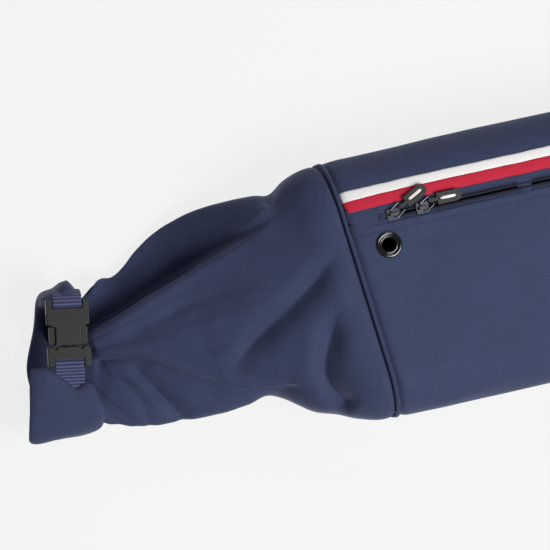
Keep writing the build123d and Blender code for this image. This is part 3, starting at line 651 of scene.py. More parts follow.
UPPER_EDGE = [
    (0, 113), (0.06, 112), (0.13, 107), (0.19, 99.5), (0.25, 101), (0.37, 101.3), (0.45, 99.9), (0.52, 96),
    (0.60, 88.8), (0.68, 77.3), (0.74, 65), (0.78, 59.8), (0.83, 58.4), (0.865, 52), (0.895, 45), (1.0, 38),
]
LOWER_EDGE = [
    (0, -113), (0.07, -110), (0.13, -105), (0.18, -99.4), (0.21, -95.8), (0.25, -88.5), (0.29, -80),
    (0.33, -74), (0.41, -76.8), (0.50, -78.7), (0.62, -78), (0.71, -75), (0.77, -72.2), (0.82, -66), (1.0, -60),
]
TOP_HEIGHT = [(0, 110), (0.1, 107), (0.2, 98), (0.3, 87), (0.45, 71), (0.6, 57), (0.75, 47), (0.87, 35), (1.0, 9)]
SIDE_RISE = [(0, 0), (0.55, 0), (0.75, 8), (0.87, 24), (1.0, 46)]
ROUNDNESS = [(0, 3.4), (0.2, 2.8), (0.6, 2.35), (1.0, 2.2)]


def sleeve_x(along, y):
    """Where a point of the sleeve is along the bag: 0 at the seam, 1 at the roll."""
    return SEAM_X - ROLL_DISTANCE * along + y * (SEAM_LEAN * (1 - along) + ROLL_LEAN * along)


def even_points(loop, count):
    """Points spread evenly along a closed loop, starting at its first point."""
    loop = np.concatenate([loop, loop[:1]])
    far = np.concatenate([[0], np.cumsum(np.linalg.norm(np.diff(loop, axis=0), axis=1))])
    at = np.linspace(0, far[-1], count, endpoint=False)
    return np.stack([np.interp(at, far, loop[:, k]) for k in range(2)], axis=1)


def mouth_section(count):
    """The body's outline as a loop from the middle of the zip side, going over the top."""
    whole = np.linspace(0, ROUND, 1200)
    yz, normal = outline(whole)
    loop = yz - normal * 1.5
    order = np.argsort((np.arctan2(loop[:, 1] - HALF_HEIGHT, loop[:, 0])) % (2 * math.pi))
    return even_points(loop[order], count)


def sleeve_section(along, count):
    """The sleeve's loop of (Y, Z) at a place along it."""
    upper, lower = curve_through(UPPER_EDGE, along), curve_through(LOWER_EDGE, along)
    high, rise = curve_through(TOP_HEIGHT, along), curve_through(SIDE_RISE, along)
    power = 2 / curve_through(ROUNDNESS, along)
    turn = np.linspace(0, 2 * math.pi, 1200, endpoint=False)
    across = np.sign(np.cos(turn)) * np.abs(np.cos(turn)) ** power
    up = np.sign(np.sin(turn)) * np.abs(np.sin(turn)) ** power
    y = (upper + lower) / 2 + (upper - lower) / 2 * across
    z = high / 2 * (1 + up) + rise * np.abs(across) ** 2.6
    return even_points(np.stack([y, z], axis=1), count)


ALONG_COUNT, AROUND_COUNT = 170, 300
along_rows = np.linspace(0, 1, ALONG_COUNT)
mouth = mouth_section(AROUND_COUNT)
sleeve_yz = np.array([
    mouth * (1 - smooth_step(a / 0.16)) + sleeve_section(a, AROUND_COUNT) * smooth_step(a / 0.16) for a in along_rows
])
sleeve_grid = np.concatenate([
    sleeve_x(along_rows[:, None], sleeve_yz[:, :, 0])[:, :, None], sleeve_yz
], axis=2)
print("sleeve grid", sleeve_grid.shape)

# %% [markdown]
# **Folds.** Each fold is a line of a few places, given as distances from the seam and across,
# drawn as seen from a little toward the open end. A valley sinks beside its line, with its own
# softness on each side. A step leaves one side high and drops the other, as where one layer of
# cloth laps over the next. Depth fades out toward a fold's ends.

# %% Fold the sleeve
VIEW_LEAN = 0.155


def line_distance(x, y, points):
    """Signed distance from a bent line (left positive), and how far along it, from 0 to 1."""
    points = np.array(points, float)
    lengths = np.linalg.norm(np.diff(points, axis=0), axis=1)
    starts = np.concatenate([[0], np.cumsum(lengths)])
    best = np.full(x.shape, 1e9)
    side, far = np.zeros(x.shape), np.zeros(x.shape)
    for i, length in enumerate(lengths):
        way = (points[i + 1] - points[i]) / length
        dx, dy = x - points[i][0], y - points[i][1]
        t = np.clip(dx * way[0] + dy * way[1], 0, length)
        gap = np.hypot(dx - t * way[0], dy - t * way[1])
        closer = gap < best
        best = np.where(closer, gap, best)
        side = np.where(closer, np.sign(way[0] * dy - way[1] * dx), side)
        far = np.where(closer, (starts[i] + t) / starts[-1], far)
    return best * np.where(side == 0, 1, side), far


def soft_path(points, count=40):
    """A smooth line through a few places."""
    points = np.array(points, float)
    far = np.concatenate([[0], np.cumsum(np.linalg.norm(np.diff(points, axis=0), axis=1))])
    at = np.linspace(0, far[-1], count)
    return np.stack([curve_through(list(zip(far, points[:, k])), at) for k in range(2)], axis=1)


def fade(far, ins, outs):
    """1 along a line, easing to 0 at its ends."""
    start = smooth_step(far / ins) if ins > 0 else 1.0
    end = smooth_step((1 - far) / outs) if outs > 0 else 1.0
    return start * end


def valley(x, y, points, depth, left, right, ins=0.2, outs=0.2, sharp=0.0):
    """A fold that sinks beside its line; sharp mixes in a creased bottom."""
    gap, far = line_distance(x, y, soft_path(points))
    width = np.where(gap > 0, left, right)
    soft = np.exp(-((gap / width) ** 2))
    crease = np.exp(-np.abs(gap) / (0.6 * width))
    return -depth * (soft * (1 - sharp) + crease * sharp) * fade(far, ins, outs)


def step(x, y, points, drop, high_reach, low_reach, ins=0.2, outs=0.2, edge=2.0):
    """A layer that laps over: high on the right of its line, dropping to the left."""
    gap, far = line_distance(x, y, soft_path(points))
    low = smooth_step(gap / edge + 0.5)
    high_side = np.exp(-np.abs(np.minimum(gap, 0)) / high_reach)
    low_side = np.exp(-np.maximum(gap, 0) / low_reach)
    return drop * (0.45 * high_side * (1 - low) - 0.55 * low_side * low) * fade(far, ins, outs)


MAIN_FOLD = [(-240, 12), (-205, 23), (-167, 37), (-128, 51), (-105, 58), (-66, 72), (-28, 94)]


def sleeve_folds(x, y):
    """All the folds of the sleeve's upper side, as heights."""
    h = step(x, y, MAIN_FOLD, 12, 22, 26, 0.02, 0.8, 6)
    lower_fold = [(-52, -71), (-100, -63), (-133, -50), (-165, -34), (-205, -13), (-238, -8)]
    h += step(x, y, lower_fold, 8, 24, 12, 0.3, 0.02, 2.2)
    h += valley(x, y, [(-4, 40), (-30, 20), (-59, 1), (-101, -26), (-128, -50)], 9, 12, 9, 0.25, 0.25, 0.3)
    h += valley(x, y, [(-14, -6), (-34, -36), (-45, -66), (-30, -106)], 10, 14, 8, 0.3, 0.1, 0.35)
    h += valley(x, y, [(-212, -12), (-192, -44), (-171, -84)], 6.0, 11, 4, 0.25, 0.1, 0.4)
    h += valley(x, y, [(-226, -22), (-206, -52), (-202, -82)], 2.2, 8, 4, 0.3, 0.1, 0.3)
    h += valley(x, y, [(-66, -66), (-84, -73), (-92, -80)], 3, 9, 7, 0.4, 0.0, 0.3)
    h += valley(x, y, [(-102, 66), (-74, 79), (-50, 93)], -3.4, 7, 5, 0.3, 0.3)
    h += valley(x, y, [(-60, 84), (-56, 96), (-52, 106)], 4.5, 6, 5, 0.4, 0.0, 0.3)
    h += valley(x, y, [(-236, 52), (-214, 50), (-190, 62)], 3.5, 6, 6, 0.2, 0.3, 0.3)
    h += valley(x, y, [(-200, 4), (-150, 0), (-96, 14), (-60, 30)], -2.6, 14, 16, 0.3, 0.4)
    h += valley(x, y, [(-220, 8), (-170, 14), (-120, 32)], 1.6, 6, 6, 0.3, 0.5)
    h += valley(x, y, [(-130, -20), (-96, -44), (-70, -60)], -2.4, 12, 10, 0.4, 0.3)
    turned = np.arctan2(y, x + 268)
    reach = np.hypot(y, x + 268)
    pleats = noise_at(turned * 5.5, reach / 120, 2.0) * 2.6 + noise_at(turned * 13, reach / 70, 6.0) * 1.0
    h += pleats * smooth_step(reach / 60) * smooth_step((250 - reach) / 90)
    return h


seen_x = sleeve_grid[:, :, 0] - SEAM_X + VIEW_LEAN * (sleeve_grid[:, :, 2] - HALF_HEIGHT)
seen_y = sleeve_grid[:, :, 1]
depth_below = np.clip(sleeve_grid[:, :, 2] / np.maximum(curve_through(TOP_HEIGHT, along_rows)[:, None], 1), 0, 1)
upper_side = smooth_step((depth_below - 0.3) / 0.45)
near_seam = smooth_step(-(sleeve_grid[:, :, 0] - seam_at(seen_y)) / 14)
near_roll = smooth_step((1 - along_rows) / 0.08)[:, None]
folds = sleeve_folds(seen_x, seen_y) * upper_side * near_seam * near_roll
small = (
    noise_at(seen_x / 42, seen_y / 26, 1.0) * 1.3 + noise_at(seen_x / 17, seen_y / 13, 5.0) * 0.5
) * (0.25 + 0.75 * near_seam) * near_roll
sewn = -3.8 * np.exp(-(((sleeve_grid[:, :, 0] - seam_at(seen_y)) / 4.0) ** 2))
print("folds from", round(folds.min(), 1), "to", round(folds.max(), 1), "mm")

# %% [markdown]
# The folds move the cloth along its own normal, worked out from its neighbours in the grid, so
# folds on the sides move sideways and not up.

# %% Make the sleeve's cloth
def grid_normals(grid, wrap):
    """Outward normals of a grid that goes round a closed section."""
    along = np.gradient(grid, axis=0)
    if wrap:
        across = (np.roll(grid, -1, axis=1) - np.roll(grid, 1, axis=1)) / 2
    else:
        across = np.gradient(grid, axis=1)
    normal = np.cross(along, across)
    normal /= np.maximum(np.linalg.norm(normal, axis=2), 1e-9)[:, :, None]
    return normal


def slack_lobe(x, y):
    """How far the slack cloth beside the main fold has sunk, from 0 to 1."""
    line = soft_path(MAIN_FOLD)
    gap, far = line_distance(x, y, line)
    facet = 1 - 0.75 * spot(x, y, (-222, 58), 13)
    return smooth_step(gap / 9 + 0.35) * smooth_step((0.86 - far) / 0.45) * facet


sleeve_grid[:, :, 2] *= 1 - 0.62 * slack_lobe(seen_x, seen_y) * near_roll * smooth_step(depth_below / 0.3)
normals = grid_normals(sleeve_grid, wrap=True)
outward = np.sign((normals[:, :, 2] * (sleeve_grid[:, :, 2] - HALF_HEIGHT * 0.6)).sum())
normals = normals * outward
sleeve_grid = sleeve_grid + normals * (folds + small + sewn)[:, :, None]
sleeve_grid[:, :, 2] = np.maximum(sleeve_grid[:, :, 2], 0.3)
sleeve_cloth = sheet_piece("sleeve_cloth", sleeve_grid, wrap=True)
smoother = sleeve_cloth.modifiers.new("smooth", "SUBSURF")
smoother.levels = smoother.render_levels = 1
apply_modifiers(sleeve_cloth)
finish_in(sleeve_cloth, "sleeve_fabric")
place(sleeve_cloth, "bag", "sleeve_fabric", "roll_top_sleeve")

# %% [markdown]
# **The rolled mouth.** The sleeve's end is rolled up flat and the roll is bent up at both ends,
# so that the strap ends meet over it. It is a flattened tube that follows a bent path. Each
# station on the path has a place, a half width and a half thickness. One arm ends under the
# upper webbing. The other folds right over and ends in a flap over the lower webbing.

# %% Make the roll
ROLL_U = np.array([0.985, -0.174, 0.0])
ROLL_V = np.array([0.174, 0.985, 0.0])
ROLL_CENTRE = np.array([SEAM_X - ROLL_DISTANCE - 1.5, 0.0, 0.0])
STATIONS = [
    (1, 25, 49, 69, 2.6), (0, 26, 54, 67, 4), (-3, 27, 58, 58, 5.5), (-7, 28, 58.5, 42, 6.5),
    (-8, 28, 55, 22, 7), (-9, 29, 44, 10, 7), (-11, 29, 28, 7.5, 7), (-18.5, 29, -6, 7.5, 7),
    (-14, 33, -36, 8, 7), (-15, 38, -54, 16, 7.5), (-20, 42, -60.5, 34, 7.5), (-23, 42.5, -60, 52, 7.5),
    (-23.5, 42, -53, 65, 6.5), (-22.5, 40, -42, 70, 6), (-21.5, 37, -31, 71, 5), (-21, 34, -21, 70.5, 3.6),
]
ARM_POINT = [(-20, -13), (-9, -10), (4, -4), (17, 3), (22, -3), (29, -14), (40, -15)]
FLAP_END = [(-30, 12), (-22, 13), (-1, 11), (9, 3), (17, -4), (26, 0), (34, -3), (44, -6)]


def roll_grid(rows_count, around_count):
    """Points of the roll: sections along its path by places round each section."""
    number = np.arange(len(STATIONS), dtype=float)
    at = np.linspace(0, number[-1], rows_count)
    left, right_edge, v, w, thick = (curve_through(list(zip(number, col)), at) for col in zip(*STATIONS))
    u, half = (left + right_edge) / 2, (right_edge - left) / 2
    path = np.stack([v, w], axis=1)
    ahead = np.gradient(path, axis=0)
    ahead /= np.linalg.norm(ahead, axis=1)[:, None]
    out = np.stack([-ahead[:, 1], ahead[:, 0]], axis=1)
    closing = np.sqrt(np.clip(np.minimum(at / 0.35, (number[-1] - at) / 0.35), 0, 1))
    turn = np.linspace(0, 2 * math.pi, around_count, endpoint=False)
    wide = np.sign(np.cos(turn)) * np.abs(np.cos(turn)) ** 0.42
    deep = np.sign(np.sin(turn)) * np.abs(np.sin(turn)) ** 0.6
    edge = np.abs(np.cos(turn)) ** 6
    thickness = thick[:, None] * (0.15 + 0.85 * closing[:, None])
    across = u[:, None] + half[:, None] * wide[None, :]
    bulge = noise_at(at[:, None] / 1.6, wide[None, :] * 1.1) * 1.1
    bulge = bulge + noise_at(at[:, None] / 0.7, wide[None, :] * 2.5, 4.0) * 0.5
    groove = -1.1 * edge[None, :] * np.exp(-((np.sin(turn)[None, :] - 0.15 * np.sin(at[:, None])) / 0.12) ** 2)
    offset = thickness * deep[None, :] + bulge * np.sign(deep)[None, :] * np.abs(deep)[None, :] ** 0.5
    across = across + groove * np.sign(np.cos(turn))[None, :]
    across = across + 0.8 * noise_at(at[:, None] / 1.1, np.sign(wide)[None, :] * 3.0, 9.0)
    flap = smooth_step((at - number[-1] + 3.2) / 3.2)
    shift = curve_through(FLAP_END, np.clip(across, -30, 44)) * flap[:, None]
    arm = smooth_step((5.0 - at) / 2.5) * smooth_step(at / 1.2)
    shift = shift + curve_through(ARM_POINT, np.clip(across, -20, 40)) * arm[:, None]
    corner = np.exp(-(((at - 11) / 1.6) ** 2))
    shift = shift + 0.19 * (across - 9.5) * corner[:, None]
    vv = v[:, None] + out[:, 0][:, None] * offset + shift
    ww = w[:, None] + out[:, 1][:, None] * offset
    grid = ROLL_CENTRE + across[:, :, None] * ROLL_U + vv[:, :, None] * ROLL_V
    grid[:, :, 2] = np.maximum(ww, 0.3)
    return grid


rolled = roll_grid(220, 84)
roll_cloth = sheet_piece("roll_cloth", rolled, wrap=True)
roll_low = rolled.reshape(-1, 3).min(0)
finish_in(roll_cloth, "sleeve_fabric")
place(roll_cloth, "bag", "sleeve_fabric", "roll_band")
print("roll from", np.round(roll_low), "to", np.round(rolled.reshape(-1, 3).max(0)))

# %% [markdown]
# **The ribbon** is one woven tape in three colours, sewn along the zip's upper edge. It lies on
# the padding, so it follows every swell of the cloth below, and its sewn edges wander a little.
# Each colour is its own strip, laid a fraction of a millimetre above the cloth.

# %% Lay the ribbon's stripes
def ribbon_stripe(name, node, slot, start, end):
    """One colour of the ribbon, between two distances from the zip's upper edge."""
    at = rows[(rows > SEAM_X + 2) & (rows < END_X - 5)]
    across = np.linspace(0, 1, 9)
    wave = 0.55 * noise_at(at / 33, 2.0) + 0.3 * noise_at(at / 11, 5.0)
    near = np.exp(-(((at - SEAM_X) / 26) ** 2))
    low = (start + wave - 2.2 * near)[:, None] * (1 - across) + (end + wave)[:, None] * across
    yz, normal = outline(ROUND - low.ravel())
    y, z = yz[:, 0].reshape(low.shape), yz[:, 1].reshape(low.shape)
    x = lean_with_seam(np.repeat(at[:, None], len(across), axis=1), y)
    distance = ROUND - low
    edge = np.sin(math.pi * across) ** 0.3
    lift = body_height_change(x, y, z, distance) + 0.25 + 0.4 * edge[None, :]
    grid = np.stack([x, y + normal[:, 0].reshape(y.shape) * lift, z + normal[:, 1].reshape(y.shape) * lift], axis=2)
    piece = sheet_piece(name, grid, thickness=0.5)
    finish_in(piece, slot)
    return place(piece, "bag", slot, node)


def width_round(node):
    """How far round the body a ribbon node's two edges are from the zip's upper edge."""
    low, high = box_mm(node)
    edges = []
    for y in (low[1], high[1]):
        flat = FLAT_EDGE - UPPER_ZIP_EDGE
        bent = flat + CORNER * math.asin(min(1, max(0, y - FLAT_EDGE) / CORNER))
        edges.append(y - UPPER_ZIP_EDGE if y <= FLAT_EDGE else bent)
    return edges


navy_edges, red_edges, white_edges = (width_round(f"ribbon_{c}") for c in ("navy", "red", "white"))
ribbon_stripe("navy_stripe", "ribbon_navy", "ribbon_navy", 0.2, navy_edges[1])
ribbon_stripe("red_stripe", "ribbon_red", "ribbon_red", navy_edges[1], red_edges[1])
ribbon_stripe("white_stripe", "ribbon_white", "ribbon_white", red_edges[1], red_edges[1] + 8.3)
print("stripes", np.round(navy_edges, 1), np.round(red_edges, 1), np.round(white_edges, 1))

# %% [markdown]
# **The zip.** Two tapes lie under the cloth's edges, a little puckered by their stitches. On
# each, a coil of stiff thread makes the teeth. A coil is a spring squashed flat, so it is a thin
# tube that winds round an oval as it goes along.

# %% Make the zip's tapes and coils
coil_low, coil_high = box_mm("zip_coil_lower")
ZIP_START, ZIP_END = coil_low[0], coil_high[0]
COIL_PITCH, COIL_THREAD = 1.5, 0.42


def zip_tape(side, node):
    """One tape: from under the cloth's edge to the coil."""
    low, high = box_mm(node)
    at = np.linspace(low[0], high[0], 520)
    inner = ZIP_Y + side * 1.0
    outer = high[1] if side > 0 else low[1]
    across = np.linspace(0, 1, 7)
    y = inner + (outer - inner) * across[None, :] + 0 * at[:, None]
    pucker = 0.35 * noise_at(at[:, None] / 5.5, across[None, :] * 1.4, side * 4.0) * np.sin(math.pi * across)[None, :]
    x = lean_with_seam(np.repeat(at[:, None], len(across), axis=1), y)
    grid = np.stack([x, y, TAPE_TOP - 0.05 + pucker], axis=2)
    piece = sheet_piece(f"tape_{'upper' if side > 0 else 'lower'}", grid, thickness=0.5)
    finish_in(piece, "zip_tape")
    return place(piece, "bag", "zip_tape", node)


def zip_coil(side, node):
    """One squashed coil along its tape."""
    turns = (ZIP_END - ZIP_START - 1) / COIL_PITCH
    turn = np.linspace(0, 2 * math.pi * turns, int(turns * 7))
    outer, inner = abs(coil_low[1] - ZIP_Y), 0.68
    middle, reach = (outer + inner) / 2, (outer - inner) / 2 - COIL_THREAD / 2
    x = ZIP_START + 0.5 + COIL_PITCH * turn / (2 * math.pi) + (0.0 if side > 0 else COIL_PITCH / 2)
    y = ZIP_Y + side * (middle + reach * np.cos(turn))
    high = TAPE_TOP + (coil_high[2] - TAPE_TOP) * 0.5
    z = high + ((coil_high[2] - TAPE_TOP) / 2 - COIL_THREAD / 2) * np.sin(turn) * 0.9
    name = f"coil_{'upper' if side > 0 else 'lower'}"
    piece = tube(name, np.stack([x, y, z], axis=1), np.full(len(turn), COIL_THREAD), 5, closed=False)
    finish_in(piece, "zip_coil")
    return place(piece, "bag", "zip_coil", node)


for side, half in ((-1, "lower"), (1, "upper")):
    zip_tape(side, f"zip_tape_{half}")
    zip_coil(side, f"zip_coil_{half}")

# %% [markdown]
# **Webbing** is heavy cord-ribbed tape: it has a strong rib across it every three millimetres.
# The ribs are in the mesh, because they catch the light at this size. A strap is a row of cross
# sections along a path.

# %% Make the closure straps
STRAP_WIDTH = 25.0
RIB_PITCH = 2.9


def ribbed_strap(name, path, width_way, width, thickness=1.3, rib=0.28, pitch=RIB_PITCH, step_size=0.36):
    """A ribbed strap along a path of places, with a direction for its width."""
    path = np.array(path, float)
    far = np.concatenate([[0], np.cumsum(np.linalg.norm(np.diff(path, axis=0), axis=1))])
    at = np.linspace(0, far[-1], max(8, int(far[-1] / step_size)))
    line = np.stack([curve_through(list(zip(far, path[:, k])), at) for k in range(3)], axis=1)
    ahead = np.gradient(line, axis=0)
    ahead /= np.linalg.norm(ahead, axis=1)[:, None]
    side = np.array(width_way, float)
    side = side / np.linalg.norm(side)
    out = np.cross(ahead, side)
    turn = np.linspace(0, 2 * math.pi, 24, endpoint=False)
    wide = np.sign(np.cos(turn)) * np.abs(np.cos(turn)) ** 0.35
    deep = np.sign(np.sin(turn)) * np.abs(np.sin(turn)) ** 0.35
    ribs = 1 + rib * 2 / thickness * (0.5 + 0.5 * np.cos(2 * math.pi * at / pitch)) * np.ones(len(at))
    bow = 0.12 * noise_at(at / 9, 3.0)
    grid = (
        line[:, None, :]
        + (wide * width / 2)[None, :, None] * side
        + (deep[None, :] * thickness / 2 * ribs[:, None] + bow[:, None])[:, :, None] * out[:, None, :]
    )
    return sheet_piece(name, grid, wrap=True)


def roll_place(u, v, w):
    """A place given across the roll, along it and up."""
    centre = ROLL_CENTRE + np.array([1.5, 0, 0])
    return centre + u * ROLL_U + v * ROLL_V + np.array([0, 0, w])


buckle_top = box_mm("buckle_socket")[1][2]
strap_level = (box_mm("buckle_socket")[0][2] + buckle_top) / 2
upper_path = [roll_place(12, v, w) for v, w in (
    (41.5, strap_level - 2), (44, strap_level + 1.6), (47, strap_level + 2.9), (51, strap_level + 2.6),
    (54.5, strap_level + 0.8), (57, strap_level - 4), (58.5, strap_level - 12), (59, strap_level - 22),
)]
lower_path = [roll_place(12, v, w) for v, w in (
    (1.0, strap_level - 2), (-1.5, strap_level + 1.4), (-5, strap_level + 2.6), (-10, strap_level + 1.6),
    (-18, strap_level + 0.4), (-28, strap_level), (-32, strap_level),
)]
upper_strap = ribbed_strap("upper_strap", upper_path, ROLL_U, STRAP_WIDTH)
finish_in(upper_strap, "webbing")
place(upper_strap, "bag", "webbing", "webbing_upper", "strap_bartack")
lower_strap = ribbed_strap("lower_strap", lower_path, ROLL_U, STRAP_WIDTH)
finish_in(lower_strap, "webbing")
place(lower_strap, "plug", "webbing", "webbing_lower")

# %% [markdown]
# **The handles, bands and tabs** are narrow webbing, woven with a cord across it at every pick, so
# its surface is a row of small ribs. The plain shape could stay as it is, but the ribs would then
# be only painted on. So each piece starts as a copy of the strap's own shape, is cut across at
# every quarter of a rib, and is pressed in between the ribs. It never grows past its own outline.

# %% Weave the handles, bands and tabs
RIB_PITCH = 2.9
RIB_DEPTH = 0.22
CUTS_PER_RIB = 4
SAME_POINT = 1e-6
# These ribbed materials paint shade between the ribs and a highlight on them.
RIBBED_ALONG_Y = ribbed("webbing ribs along Y", (0.050, 0.058, 0.130), "Object", RIB_PITCH, direction="Y")


def ribbed_copy(node, body, axis, pitch=RIB_PITCH, depth=RIB_DEPTH):
    """A copy of one strap's shape with ribs across it, standing for that strap."""
    along = "XYZ".index(axis)
    mesh = frame["nodes"][node].data.copy()
    mesh.name = f"{node}_weave"
    shape = bmesh.new()
    shape.from_mesh(mesh)
    bmesh.ops.remove_doubles(shape, verts=shape.verts[:], dist=SAME_POINT)
    low, high = box_mm(node)
    direction = [float(i == along) for i in range(3)]
    for cut in np.arange(low[along] + pitch / CUTS_PER_RIB, high[along], pitch / CUTS_PER_RIB):
        every = shape.verts[:] + shape.edges[:] + shape.faces[:]
        place_mm = [cut / 1000 * d for d in direction]
        bmesh.ops.bisect_plane(shape, geom=every, dist=SAME_POINT, plane_co=place_mm, plane_no=direction)
    shape.normal_update()
    inward = [v.normal.copy() for v in shape.verts]
    for vert, normal in zip(shape.verts, inward):
        hollow = 0.5 - 0.5 * math.cos(2 * math.pi * vert.co[along] * 1000 / pitch)
        vert.co -= normal * depth / 1000 * hollow
    shape.to_mesh(mesh)
    shape.free()
    for face in mesh.polygons:
        face.use_smooth = True
    slot = node_slot[node]
    finish = UNMAPPED.get(slot, MATERIALS[slot])
    if slot == "webbing" and axis == "Y":
        finish = RIBBED_ALONG_Y
    mesh.materials.clear()
    mesh.materials.append(finish)
    piece = bpy.data.objects.new(f"{node}_weave", mesh)
    bpy.context.scene.collection.objects.link(piece)
    print(node, "ribbed along", axis, "slot", slot, "faces", len(mesh.polygons))
    return place(piece, body, slot, node)


for node, body, axis in [
    ("front_handle", "front_handle", "X"), ("side_handle", "side_handle", "X"), ("end_handle", "bag", "Y"),
    ("end_tabs", "bag", "Y"), ("handle_band_near", "bag", "Y"), ("handle_band_far", "bag", "Y"),
    ("ring_tab_near", "bag", "Y"), ("ring_tab_far", "bag", "Y"),
    ("ski_strap_near", "bag", "Y"), ("ski_strap_far", "bag", "Y"),
]:
    ribbed_copy(node, body, axis)
ribbed_copy("handle_wrap", "front_handle", "X", pitch=1.6, depth=0.12)

# %% [markdown]
# **The eyelet** is a pressed metal ring with black lacquer. Its rim is rolled over, so its face
# is round and catches a bright arc. A ring is a profile turned about an axis.

# %% Turn the eyelet
def turned(name, profile, centre, sides=96):
    """A ring: a profile of (radius, height) places turned about an upright axis."""
    angle = np.linspace(0, 2 * math.pi, sides, endpoint=False)
    rings = [
        np.stack([centre[0] + r * np.cos(angle), centre[1] + r * np.sin(angle), np.full(sides, h)], axis=1)
        for r, h in profile
    ]
    return sheet_piece(name, np.array(rings), wrap=True)


top = eyelet_high[2]
rim = [
    (11.4, top - 2.2), (11.5, top - 1.3), (11.25, top - 0.55), (10.6, top - 0.1), (9.8, top + 0.1), (9.0, top - 0.05),
    (8.35, top - 0.45), (7.9, top - 0.95), (7.6, top - 1.2), (7.25, top - 1.15), (6.8, top - 1.0), (6.4, top - 1.2),
    (6.1, top - 1.9), (6.0, top - 3.5), (6.0, top - 9.0),
]
eyelet_ring = turned("eyelet_ring", rim, EYELET)
finish_in(eyelet_ring, "eyelet_black")
place(eyelet_ring, "bag", "eyelet_black", "eyelet")

# %% [markdown]
# Each pull has a raised bar on its moulded grip, coloured pale as a painted highlight where the bar
# catches the light. It is a thin rounded block laid along the grip, which rides with it.

# %% Lay the bars on the pulls
def pull_bar(name, node, body, tilt_degrees):
    """A raised bar on top of a grip, coloured pale as a painted highlight."""
    low, high = box_mm(node)
    centre = (low + high) / 2
    way = np.array([math.cos(math.radians(tilt_degrees)), math.sin(math.radians(tilt_degrees)), 0])
    centre = centre + way * 2.5
    turn = np.linspace(0, 2 * math.pi, 28, endpoint=False)
    long = np.sign(np.cos(turn)) * np.abs(np.cos(turn)) ** 0.4 * 6.9
    short = np.sign(np.sin(turn)) * np.abs(np.sin(turn)) ** 0.7 * 1.25
    side = np.array([-way[1], way[0], 0])
    rings = []
    for grow, up in ((1.0, -0.35), (1.0, 0.1), (0.97, 0.22), (0.88, 0.3), (0.5, 0.33), (0.02, 0.34)):
        ring = centre + grow * (long[:, None] * way + short[:, None] * side)
        ring[:, 2] = high[2] + up
        rings.append(ring)
    piece = sheet_piece(name, np.array(rings), wrap=True)
    piece.data.materials.append(bar_painted_highlight)
    return place(piece, body, "pull_rubber")


# The bar's pale colour is a painted highlight on the raised bar.
bar_painted_highlight = moulded("raised bar painted highlight", (0.72, 0.70, 0.66), 0.35, 0.2)
pull_bar("bar_a", "pull_grip_a", "grip_a", 26.5 + 0.0)
pull_bar("bar_b", "pull_grip_b", "grip_b", 0.0)

# %% [markdown]
# ** Stitches** are what make sewn cloth look sewn. A stitch is a short flattened bead, and a line
# of them is one mesh. They run along the fold beside the zip and along the ribbon's edge by the zip.

# %% Sew the stitch lines
def stitches(name, path, out, length=2.5, gap=0.9, width=0.45):
    """A line of stitches along a path of places, with the cloth's outward direction at each."""
    path, out = np.asarray(path, float), np.asarray(out, float)
    far = np.concatenate([[0], np.cumsum(np.linalg.norm(np.diff(path, axis=0), axis=1))])
    starts = np.arange(0.5, far[-1] - length, length + gap)
    shape = [(0, 0.3, -0.05), (0.18, 0.9, 0.16), (0.5, 1.0, 0.22), (0.82, 0.9, 0.16), (1, 0.3, -0.05)]
    points, faces = [], []
    for start in starts:
        base = len(points)
        for along, wide, high in shape:
            at = start + along * length
            spot_at = np.array([np.interp(at, far, path[:, k]) for k in range(3)])
            normal = np.array([np.interp(at, far, out[:, k]) for k in range(3)])
            ahead_at = np.array([np.interp(at + 0.5, far, path[:, k]) for k in range(3)]) - spot_at
            side = np.cross(normal, ahead_at)
            side /= max(np.linalg.norm(side), 1e-9)
            points += [spot_at - side * wide * width / 2, spot_at + normal * high, spot_at + side * wide * width / 2]
        for k in range(len(shape) - 1):
            for j in range(2):
                a = base + 3 * k + j
                faces.append((a, a + 1, a + 4, a + 3))
    piece = mesh_piece(name, points, faces)
    finish_in(piece, "stitching")
    return place(piece, "bag", "stitching")


def seam_line(distance, lift):
    """Places and outward directions along the body, at a distance round it."""
    at = rows[(rows > SEAM_X + 6) & (rows < END_X - 8)]
    yz, normal = outline(np.full(len(at), float(distance)))
    x = lean_with_seam(at, yz[:, 0])
    height = body_height_change(x, yz[:, 0], yz[:, 1], np.full(len(at), float(distance))) + lift
    points = np.stack([x, yz[:, 0] + normal[:, 0] * height, yz[:, 1] + normal[:, 1] * height], axis=1)
    return points, np.stack([0 * at, normal[:, 0], normal[:, 1]], axis=1)


stitches("stitches_zip", *seam_line(6.6, 0.05))
stitches("stitches_ribbon", *seam_line(ROUND - 1.2, 0.75))

# %% [markdown]
# **Camera, floor and light.** The bag is seen from almost straight above, from a little toward
# its open end, through a long lens. The floor is pale and nearly glows, as in a light tent. A
# broad lamp low on one side models the folds, and a weaker one fills them.

# %% Set the camera
VIEW_CENTRE = np.array([SEAM_X - 66.0, 29.0, HALF_HEIGHT])
VIEW_WIDTH = 478.0
CAMERA_DISTANCE = 3200.0
AXIS_TILT = math.radians(12.5)
LEAN_ANGLE = math.atan(VIEW_LEAN)

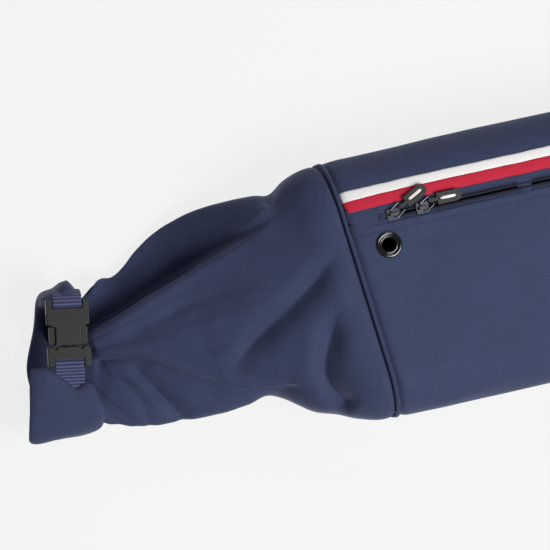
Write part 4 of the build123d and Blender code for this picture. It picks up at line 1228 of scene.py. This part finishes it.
camera = bpy.data.objects.new("camera", bpy.data.cameras.new("camera"))
bpy.context.collection.objects.link(camera)
bpy.context.scene.camera = camera
look_from = np.array([-math.sin(LEAN_ANGLE), 0.0, math.cos(LEAN_ANGLE)])
camera.location = Vector((VIEW_CENTRE + look_from * CAMERA_DISTANCE) * MM)
back = Vector(look_from)
right = Vector((math.cos(AXIS_TILT), -math.sin(AXIS_TILT), 0))
right = (right - back * right.dot(back)).normalized()
up = back.cross(right)
camera.rotation_mode = "QUATERNION"
camera.rotation_quaternion = Matrix((right, up, back)).transposed().to_quaternion()
camera.data.sensor_width = 36
camera.data.lens = 36 * CAMERA_DISTANCE / VIEW_WIDTH
camera.data.clip_end = 50
print("lens", round(camera.data.lens), "mm")

# %% Lay the floor and set the lamps
FLOOR_REACH, FLOOR_TOP = 6000, -0.2
floor_corners = [(i * FLOOR_REACH, j * FLOOR_REACH, FLOOR_TOP) for i, j in ((-1, -1), (1, -1), (1, 1), (-1, 1))]
floor = mesh_piece("floor", floor_corners, [(0, 1, 2, 3)])
floor_material, _, floor_shader = node_tree("pale floor")
floor_shader.inputs["Base Color"].default_value = (0.08, 0.08, 0.08, 1)
floor_shader.inputs["Roughness"].default_value = 1.0
floor_shader.inputs["Emission Color"].default_value = (1, 1, 1, 1)
floor_shader.inputs["Emission Strength"].default_value = 0.82
floor.data.materials.append(floor_material)


def lamp(name, toward, distance, size, power):
    """A square lamp that shines on the bag's seam from a direction."""
    light = bpy.data.objects.new(name, bpy.data.lights.new(name, "AREA"))
    bpy.context.collection.objects.link(light)
    toward = Vector(toward).normalized()
    light.location = Vector(VIEW_CENTRE * MM) + toward * distance
    light.rotation_mode = "QUATERNION"
    light.rotation_quaternion = toward.to_track_quat("Z", "Y")
    light.data.size = size
    light.data.energy = power
    return light


lamp("key", (0.42, -0.42, 0.95), 2.4, 1.3, 62)
lamp("zip_side", (0.35, 0.85, 0.75), 2.8, 1.2, 13)
world = bpy.data.worlds.new("studio")
world.use_nodes = True
world.node_tree.nodes["Background"].inputs["Color"].default_value = (1, 1, 1, 1)
world.node_tree.nodes["Background"].inputs["Strength"].default_value = 0.10
bpy.context.scene.world = world
bpy.context.scene.view_settings.view_transform = "Standard"
